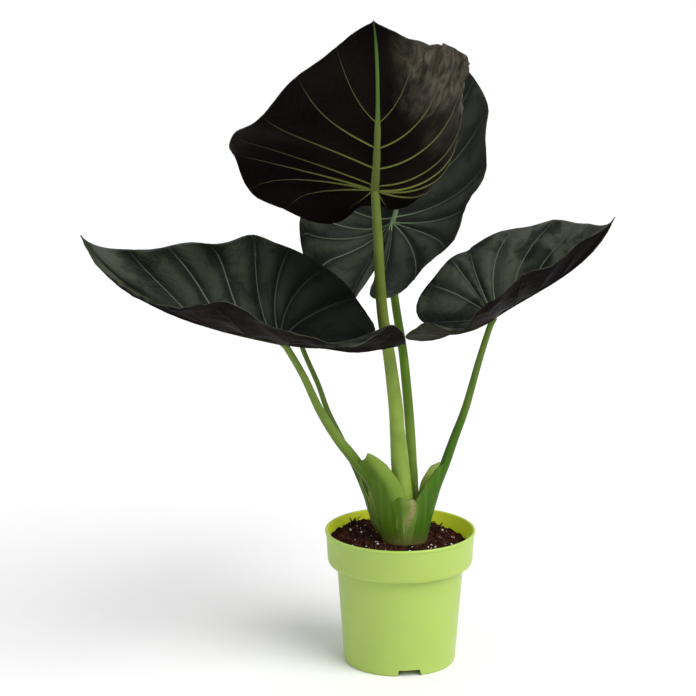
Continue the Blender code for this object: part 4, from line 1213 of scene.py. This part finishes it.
def make_column(name, settings, material):
    """A stalk: a grid closed into a tube, level at its foot and square to its path higher up."""
    rows = np.array(STALKS[name]["path"], float)
    count = (len(rows) - 1) * RINGS_BETWEEN_ROWS
    bm, around, up = grid(settings.sides, count)
    dense = smooth_curve(rows, np.linspace(0, 1, count + 1))
    place = dense[:, :3] * MILLIMETRE
    along = unit(np.gradient(place, axis=0))
    level = np.clip(1 - (place[:, 2] - STEM_TOP) / LEVEL_HEIGHT, 0, 1)[:, None]
    along = unit(along * (1 - level) + np.array([0, 0, 1.0]) * level)
    run = np.concatenate([[0], np.cumsum(np.linalg.norm(np.diff(place, axis=0), axis=1))])
    to_end = run[-1] - run
    taper = 1 - TAPER + TAPER * np.clip(to_end / TAPER_LENGTH, 0, 1) ** 0.5
    sink = np.array(upper_side(LEAVES[name])) * SINK
    place = place - sink[None, :] * np.clip(1 - to_end / SINK_LENGTH, 0, 1)[:, None]
    sheath = np.array(STALKS[name].get("sheath", NO_SHEATH), float)
    curve = np.interp(
        dense[:, 2], (*sheath[:, 0], sheath[-1, 0] + SHEATH_FADE), (*(1000 / sheath[:, 1]), 0.0))
    backs = np.radians(np.interp(dense[:, 2], sheath[:, 0], sheath[:, 2]))
    out = np.stack([np.cos(backs), np.sin(backs), 0 * backs], axis=1)
    out = unit(out - along * np.sum(out * along, axis=1)[:, None])
    across = np.cross(along, out)
    ring = np.rint(up * count).astype(int)
    turn = 2 * math.pi * around
    bend = np.maximum(curve, 1e-3)[ring]
    wide, thick = (dense[ring, k] * taper[ring] * MILLIMETRE for k in (3, 4))
    angle, rise = bend * wide * np.cos(turn), thick * np.sin(turn)
    outward = (np.cos(angle) - 1) / bend + rise * np.cos(angle)
    sideways = np.sin(angle) / bend + rise * np.sin(angle)
    place_verts(bm, place[ring] + outward[:, None] * out[ring] + sideways[:, None] * across[ring])
    bmesh.ops.remove_doubles(bm, verts=bm.verts, dist=CLOSE_WITHIN)
    bmesh.ops.holes_fill(bm, edges=bm.edges, sides=0)
    bmesh.ops.recalc_face_normals(bm, faces=bm.faces)
    piece("petiole_" + name, bm, [material], ["stalk_" + name])


def make_sheath(name, material, inside):
    """The sheath: a sheet that wraps the stalks within it, with a pale edge and its rim's outline on top."""
    rim = smooth_curve(STALKS[name]["rim"], np.linspace(0, 1, 60))
    bm, across, up = grid(48, 40)
    share = 2 * across - 1
    low = STALKS[name]["sheath"][0][0] + SHEATH_LIFT
    corner = RIM_CORNERS.get(name, 0) * np.clip((share - CORNER_START) / (1 - CORNER_START), 0, 1) ** 2
    z = low + up * (np.interp(share, rim[:, 0], rim[:, 1]) - corner - low)
    centre, radius, back, left, right = sheath_at(name, z)
    angle = np.radians(back + share * np.where(share > 0, left, right))
    back = np.radians(back)
    radius = radius + SHEATH_WAVE * np.sin(z * 0.13 + share * 4.0) * abs(share) ** 3
    points = np.column_stack([centre + radius[:, None] * compass(angle), z]) * MILLIMETRE
    half_width, half_depth = path_at(name, z, (3, 4)).T
    from_back = abs(angle - back) * radius / half_width
    top = np.clip((up - SWELL_TOP) / (1 - SWELL_TOP), 0, 1)
    swell = half_depth * (1 - SHEATH_THINNING * top) * np.exp(-((from_back / BACK_WIDTH) ** 2))
    thickness = SHEATH_WALL + 2 * swell * MILLIMETRE
    place_verts(bm, points, edge=abs(share))
    bmesh.ops.recalc_face_normals(bm, faces=bm.faces)
    face_toward(bm, Vector((math.cos(back[0]), math.sin(back[0]), 0.0)))
    sheet = piece("sheath_" + name, bm, [material, inside])
    thicken(sheet, thickness.max(), 0.0, thickness / thickness.max())


def wing_edge(name, z, end, inward):
    """A sheath's middle surface some degrees in from a wing's edge: the point, the way out, the way round."""
    centre, radius, back, left, right = sheath_at(name, z)
    out = compass(np.radians(back + (left - inward if end > 0 else inward - right)))
    return centre + radius[:, None] * out, out, np.stack([-out[:, 1], out[:, 0]], axis=1)


def make_skin(material):
    """The skin over the stem's front: a sheet from one sheath's wing to the other's, sunk into both."""
    bm, across, up = grid(36, 40)
    # Its top edge falls off at both sides and waves
    arch = 1 - 0.30 * np.clip(1 - across / 0.22, 0, 1) ** 2 - 0.16 * np.clip(across - 0.6, 0, 1) * 2.5
    arch += 0.035 * np.sin(across * 19.0)
    z = SKIN_LOW + up * SKIN_HEIGHT * arch
    start, start_out, start_way = wing_edge("left", z, 1, SKIN_REACH[0])
    finish, finish_out, finish_way = wing_edge("right", z, -1, SKIN_REACH[1])
    pull = np.linalg.norm(finish - start, axis=1)[:, None] * SKIN_PULL
    t = across[:, None]
    flat = ((1 - t) ** 3 * start + 3 * t * (1 - t) ** 2 * (start + pull * start_way)
            + 3 * t**2 * (1 - t) * (finish - pull * finish_way) + t**3 * finish)
    out = unit((1 - t) * start_out + t * finish_out)
    # It is sunk into the sheaths at its sides and top
    raised = np.clip(np.minimum(across, 1 - across) / 0.30, 0, 1) * np.clip((1 - up) / 0.10, 0, 1) ** 0.5
    proud = SKIN_PROUD * raised - SKIN_SUNK * (1 - raised) + 0.15 * np.sin(across * 31 + z * 0.10)
    flat = flat + out * (1000 * SHEATH_WALL / 2 + proud)[:, None]
    # The scar runs down to one side of its middle and ends above the soil
    middle = 0.68 + 0.04 * np.sin(z * 0.21)
    scar = np.clip(1.3 - abs(across - middle) / 0.11, 0, 1) * np.clip((z - 156) / 14, 0, 1)
    place_verts(bm, np.column_stack([flat, z]) * MILLIMETRE, scar=scar, side=across)
    bmesh.ops.recalc_face_normals(bm, faces=bm.faces)
    face_toward(bm, Vector((0.0, -1.0, 0.0)))
    thicken(piece("stem_skin", bm, [material]), SHEATH_WALL, -1.0)


class OBJECT_OT_alocasia_stalks(Operator):
    """Build the long stalks, the sheaths that clasp the stem and the dried skin between two of them"""

    bl_idname = "object.alocasia_stalks"
    bl_label = "Stalks"
    bl_options = {"REGISTER", "UNDO"}

    def execute(self, context):
        settings = context.scene.alocasia_stalks
        inside = stalk_material("sheath_inside", settings, **PAINTED_LIGHT_INSIDE_TONES)
        for name in STALKS:
            material = stalk_material("stalk_green_" + name, settings, **STALK_TONES[name])
            make_column(name, settings, material)
            if "sheath" in STALKS[name]:
                make_sheath(name, material, inside)
        make_skin(skin_material())
        return {"FINISHED"}


# Blades


def field_columns():
    """Shares of the edge where the mesh has a ray, and each ray's place counted in fields between ribs."""
    ribs = rib_ends()
    shares, places = [], []
    for number, (low, high) in enumerate(zip(ribs, ribs[1:])):
        for part in FIELD_SHARES:
            shares.append(low + (high - low) * part)
            places.append(number + part)
    return np.array(shares + [1.0]), np.array(places + [len(ribs) - 1.0])


def share_at(place):
    """The share of the edge at a place counted in fields."""
    ribs = rib_ends()
    return np.interp(place, np.arange(len(ribs)), ribs)


def from_ends(edge_share, width):
    """A share that rises from 0 to 1 away from the tip and from the notch."""
    return np.clip(edge_share / width, 0, 1) * np.clip((1 - edge_share) / width, 0, 1)


def blade_relief(settings, leaf, edge_share, place, ring):
    """The blade's swelling between its side ribs and the waves of its edge, along the normal."""
    swell = settings.swelling * np.sin(np.pi * (place % 1.0)) ** 2
    swell *= np.sin(np.pi * np.clip(ring, 0, 1) ** 0.8)
    fade = from_ends(edge_share, WAVE_FADE)
    wave = settings.wave * np.sin(2 * np.pi * WAVES_PER_SIDE * edge_share + leaf["wave_phase"])
    wave *= ring**3 * fade
    return leaf["length"] * (swell + wave)


def on_half(column, half, values):
    """Values on one half of the blade, and zero on the other."""
    return np.where((column > 0) == (half == 1), values, 0.0)


def crumpled(name, column, edge_share, ring, along, across):
    """Creases of a margin, as noise on the flat blade that fades in toward the edge, and how much painted
    sheen it carries.
    """
    lift, silk = np.zeros(len(ring)), np.zeros(len(ring))
    for half, low, high, height, size, painted_sheen_amount in CRUMPLES.get(name, ()):
        start = np.clip((edge_share - low) / CREASE_FADE, 0, 1)
        ends = start * np.clip((high - edge_share) / CREASE_FADE, 0, 1)
        share = on_half(column, half, ends) * np.clip((ring - 0.45) / 0.5, 0, 1)
        folds = [fine_noise((a, b, 0.0), size, 4.0 + half) + 0.45 * fine_noise((a, b, 0.0), size / 2.2, 8.0)
                 for a, b in zip(along, across)]
        lift += height * share * np.array(folds)
        wide = start * np.clip((high + 0.16 - edge_share) / 0.12, 0, 1)
        silk += painted_sheen_amount * on_half(column, half, wide) * np.clip((ring - 0.28) / 0.45, 0, 1)
    return lift, silk


def upturned(name, column, edge_share, ring):
    """The extra height of a margin that stands up."""
    half, low, high, height = UPTURNS.get(name, (0, 0, 1, 0))
    ends = np.sin(np.pi * np.clip((edge_share - low) / (high - low), 0, 1) ** 0.72) ** 0.8
    return on_half(column, half, height * ends * ring**4)


def painted_shading_at(name, column, u):
    """How much painted shade darkens the blade: 1 for all of its light tone, below zero where painted light
    makes it paler.
    """
    tone = np.zeros(len(u))
    for half, start, end, amount in PAINTED_SHADING_PARTS.get(name, ()):
        tone += on_half(column, half, amount * np.clip((u - start) / (end - start), 0, 1))
    return tone


def field_widths(leaf, place, ring):
    """The distance between two ribs, in metres, at each vertex."""
    near = [np.clip(place + step, 0, len(SIDE_RIBS) + 1) for step in (FIELD_STEP, -FIELD_STEP)]
    ahead, behind = (flat_point(share_at(spot), ring, leaf["lobes"]) for spot in near)
    reach = np.hypot(ahead[0] - behind[0], (ahead[1] - behind[1]) * leaf["width"])
    return leaf["length"] * reach / (near[0] - near[1])


def close_blade(bm):
    """Joins the lobes where they meet, and leaves out what has no area or lies double."""
    bmesh.ops.remove_doubles(bm, verts=bm.verts, dist=MERGE_WITHIN)
    bmesh.ops.dissolve_degenerate(bm, edges=bm.edges, dist=1e-5)
    bmesh.ops.triangulate(bm, faces=bm.faces)
    flaps = {}
    for face in bm.faces:
        flaps.setdefault(frozenset(face.verts), []).append(face)
    doubled = [face for faces in flaps.values() if len(faces) > 1 for face in faces]
    bmesh.ops.delete(bm, geom=doubled, context="FACES_ONLY")


def make_blade(name, settings, upper, under):
    """One blade: a grid whose columns are rays from the midrib to the edge, laid flat, bent and thickened."""
    leaf = LEAVES[name]
    shares, places = field_columns()
    columns = len(shares) - 1
    bm, across, up = grid(2 * columns, RING_COUNT)
    column = np.rint((2 * across - 1) * columns).astype(int)
    ring = np.rint(up * RING_COUNT) / RING_COUNT
    ring = RING_CROWDING * ring**2 + (1 - RING_CROWDING) * ring
    edge_share, place = shares[abs(column)], places[abs(column)]
    u, v = flat_point(edge_share, ring, leaf["lobes"])
    size = leaf["length"]
    field_width = field_widths(leaf, place, ring)
    strength = np.array([TIP_RIB, *(rib[2] for rib in SIDE_RIBS), NOTCH_RIB])[np.rint(place).astype(int)]
    scale = (size / FULL_LENGTH) ** 0.6
    rib_half = RIB_HALF * (1.0 if name == "front" else 1.3) * scale * strength * (1 - 0.55 * ring**0.7) + 1e-5
    midrib_half = scale * np.interp(u, *zip(*MIDRIB_HALVES))
    midrib_distance = size * np.hypot(np.minimum(u, 0) * 1.4, v * leaf["width"])
    rib_here = np.clip(1 - abs(place - np.rint(place)) * field_width / (rib_half * 1.5), 0, 1)
    mid_here = np.clip(1 - midrib_distance / (midrib_half * 1.2), 0, 1) ** 0.5
    lift = blade_relief(settings, leaf, edge_share, place, ring)
    lift -= GROOVE_DEPTH * rib_here * (1 - ring) * np.clip(ring / GROOVE_START, 0, 1)
    creases, silk = crumpled(name, column, edge_share, ring, u * size, v * leaf["width"] * size)
    lift += creases + upturned(name, column, edge_share, ring)
    fine = np.array([fine_noise((a * FINE_COUNT, b * FINE_COUNT, 0.0), 1.0, leaf["wave_phase"])
                     for a, b in zip(u, v)])
    lift += FINE_CREASES * fine * ring * from_ends(edge_share, FINE_FADE)
    points = np.zeros((len(u), 3))
    for side, chosen in enumerate((column <= 0, column > 0)):
        spots, normal = bent(leaf, side, u[chosen], v[chosen])
        points[chosen] = spots + normal * lift[chosen][:, None]
    deepest = settings.midrib * scale
    rib_depth = (settings.rib * scale * strength * (1 - ring) ** 0.8 + 0.0002) * rib_here
    midrib_depth = (deepest - settings.thickness) * mid_here * np.clip(1 - np.maximum(u, 0), 0, 1) ** 0.7
    depth = settings.thickness + np.maximum(rib_depth, midrib_depth)
    bm.verts.index_update()
    handles = place_verts(
        bm, points, field_width=field_width, rib_half=rib_half, midrib_half=midrib_half,
        midrib_distance=midrib_distance, depth=np.clip(depth / deepest, 0, 1), along=u, silk=silk,
        dull=painted_shading_at(name, column, u))
    uv = bm.loops.layers.uv.new("veins")
    for face in bm.faces:
        for loop in face.loops:
            loop[uv].uv = (place[loop.vert.index], ring[loop.vert.index])
    close_blade(bm)
    face_toward(bm, upper_side(leaf))
    depths = [vert[handles["depth"]] for vert in bm.verts]
    thicken(piece("leaf_" + name, bm, [upper, under], ["blade_" + name]), deepest, -1.0, depths)


class OBJECT_OT_alocasia_leaves(Operator):
    """Build the shield-shaped blades with their ribs, swellings and waved edges"""

    bl_idname = "object.alocasia_leaves"
    bl_label = "Leaves"
    bl_options = {"REGISTER", "UNDO"}

    def execute(self, context):
        settings = context.scene.alocasia_leaves
        upper = leaf_upper_material(settings)
        tall = leaf_under_material("leaf_under_tall", settings, settings.vein, (0.085, 0.085, 0.046),
                                   (0.125, 0.155, 0.038), (0.085, 0.165, 0.036))
        # Painted shade: the other leaves get a darker copy of the underside, whose dim veins and midrib stand
        # in for the shade their undersides lie in
        low = leaf_under_material("leaf_under_low", settings, (0.014, 0.014, 0.009), (0.026, 0.025, 0.020),
                                  (0.020, 0.022, 0.010), (0.012, 0.014, 0.008))
        for name in LEAVES:
            make_blade(name, settings, upper, tall if name == "front" else low)
        return {"FINISHED"}


# Stage


def aimed(way):
    """The turn of a light or camera that looks along a direction."""
    return Vector(way).to_track_quat("-Z", "Y").to_euler()


def area_light(name, place, target, size, power):
    light = bpy.data.lights.new(name, "AREA")
    light.shape = "RECTANGLE"
    light.size, light.size_y = size
    light.energy = power
    made = add_object(name, light)
    made.location = place
    made.rotation_euler = aimed(Vector(target) - Vector(place))


class OBJECT_OT_alocasia_stage(Operator):
    """Set the floor, the soft studio lights and the camera at the photograph's angle"""

    bl_idname = "object.alocasia_stage"
    bl_label = "Stage"
    bl_options = {"REGISTER", "UNDO"}

    def execute(self, context):
        settings = context.scene.alocasia_stage
        scene = context.scene
        bm = bmesh.new()
        bmesh.ops.create_grid(bm, x_segments=1, y_segments=1, size=FLOOR_HALF)
        floor = as_object("floor", bm)
        white = Finish("floor_white", 0.85)
        shaded = [0.985 * part for part in settings.floor]
        floor.data.materials.append(white.done(white.blend(white.noise(40.0, 2.0), settings.floor, shaded)))
        world = bpy.data.worlds.new("studio")
        world.use_nodes = True
        sky = world.node_tree.nodes["Background"]
        sky.inputs["Color"].default_value = (1.0, 1.0, 1.0, 1.0)
        sky.inputs["Strength"].default_value = settings.sky
        scene.world = world
        overhead = bpy.data.lights.new("overhead", "SUN")
        overhead.energy = settings.overhead
        overhead.angle = settings.spread
        add_object("overhead", overhead).rotation_euler = aimed(-Vector(OVERHEAD_FROM))
        for name, place, target, size, power in AREA_LIGHTS:
            area_light(name, place, target, size, getattr(settings, power))
        camera = bpy.data.cameras.new("camera")
        camera.sensor_width = SENSOR_WIDTH
        camera.lens = SENSOR_WIDTH * FOCAL_PIXELS / IMAGE_SIDE
        made = add_object("camera", camera)
        made.location = CAMERA_PLACE
        made.rotation_euler = (CAMERA_TILT, 0, 0)
        scene.camera = made
        scene.view_settings.view_transform = "Standard"
        return {"FINISHED"}


# Panel and registration


STEPS = (
    ("alocasia_pot", "object.alocasia_pot"), ("alocasia_soil", "object.alocasia_soil"),
    (None, "object.alocasia_stem"), ("alocasia_stalks", "object.alocasia_stalks"),
    ("alocasia_leaves", "object.alocasia_leaves"), ("alocasia_stage", "object.alocasia_stage"),
)


class VIEW3D_PT_alocasia(Panel):
    """Settings and build buttons of the potted alocasia"""

    bl_label = "Potted Shield Alocasia"
    bl_idname = "VIEW3D_PT_alocasia"
    bl_space_type = "VIEW_3D"
    bl_region_type = "UI"
    bl_category = "Alocasia"

    def draw(self, context):
        for settings_name, operator in STEPS:
            box = self.layout.box()
            if settings_name:
                settings = getattr(context.scene, settings_name)
                for key in settings.__annotations__:
                    box.prop(settings, key)
            box.operator(operator)


SETTINGS = {
    "alocasia_pot": AlocasiaPotSettings,
    "alocasia_soil": AlocasiaSoilSettings,
    "alocasia_stalks": AlocasiaStalkSettings,
    "alocasia_leaves": AlocasiaLeafSettings,
    "alocasia_stage": AlocasiaStageSettings,
}
CLASSES = (
    *SETTINGS.values(), OBJECT_OT_alocasia_pot, OBJECT_OT_alocasia_soil, OBJECT_OT_alocasia_stem,
    OBJECT_OT_alocasia_stalks, OBJECT_OT_alocasia_leaves, OBJECT_OT_alocasia_stage, VIEW3D_PT_alocasia,
)


def register():
    for cls in CLASSES:
        bpy.utils.register_class(cls)
    for name, cls in SETTINGS.items():
        setattr(bpy.types.Scene, name, PointerProperty(type=cls))


def unregister():
    for name in SETTINGS:
        delattr(bpy.types.Scene, name)
    for cls in reversed(CLASSES):
        bpy.utils.unregister_class(cls)


def main():
    register()
    bpy.ops.object.alocasia_stage()
    bpy.ops.object.alocasia_pot()
    bpy.ops.object.alocasia_soil()
    bpy.ops.object.alocasia_stem()
    bpy.ops.object.alocasia_stalks()
    bpy.ops.object.alocasia_leaves()


if __name__ == "__main__":
    main()
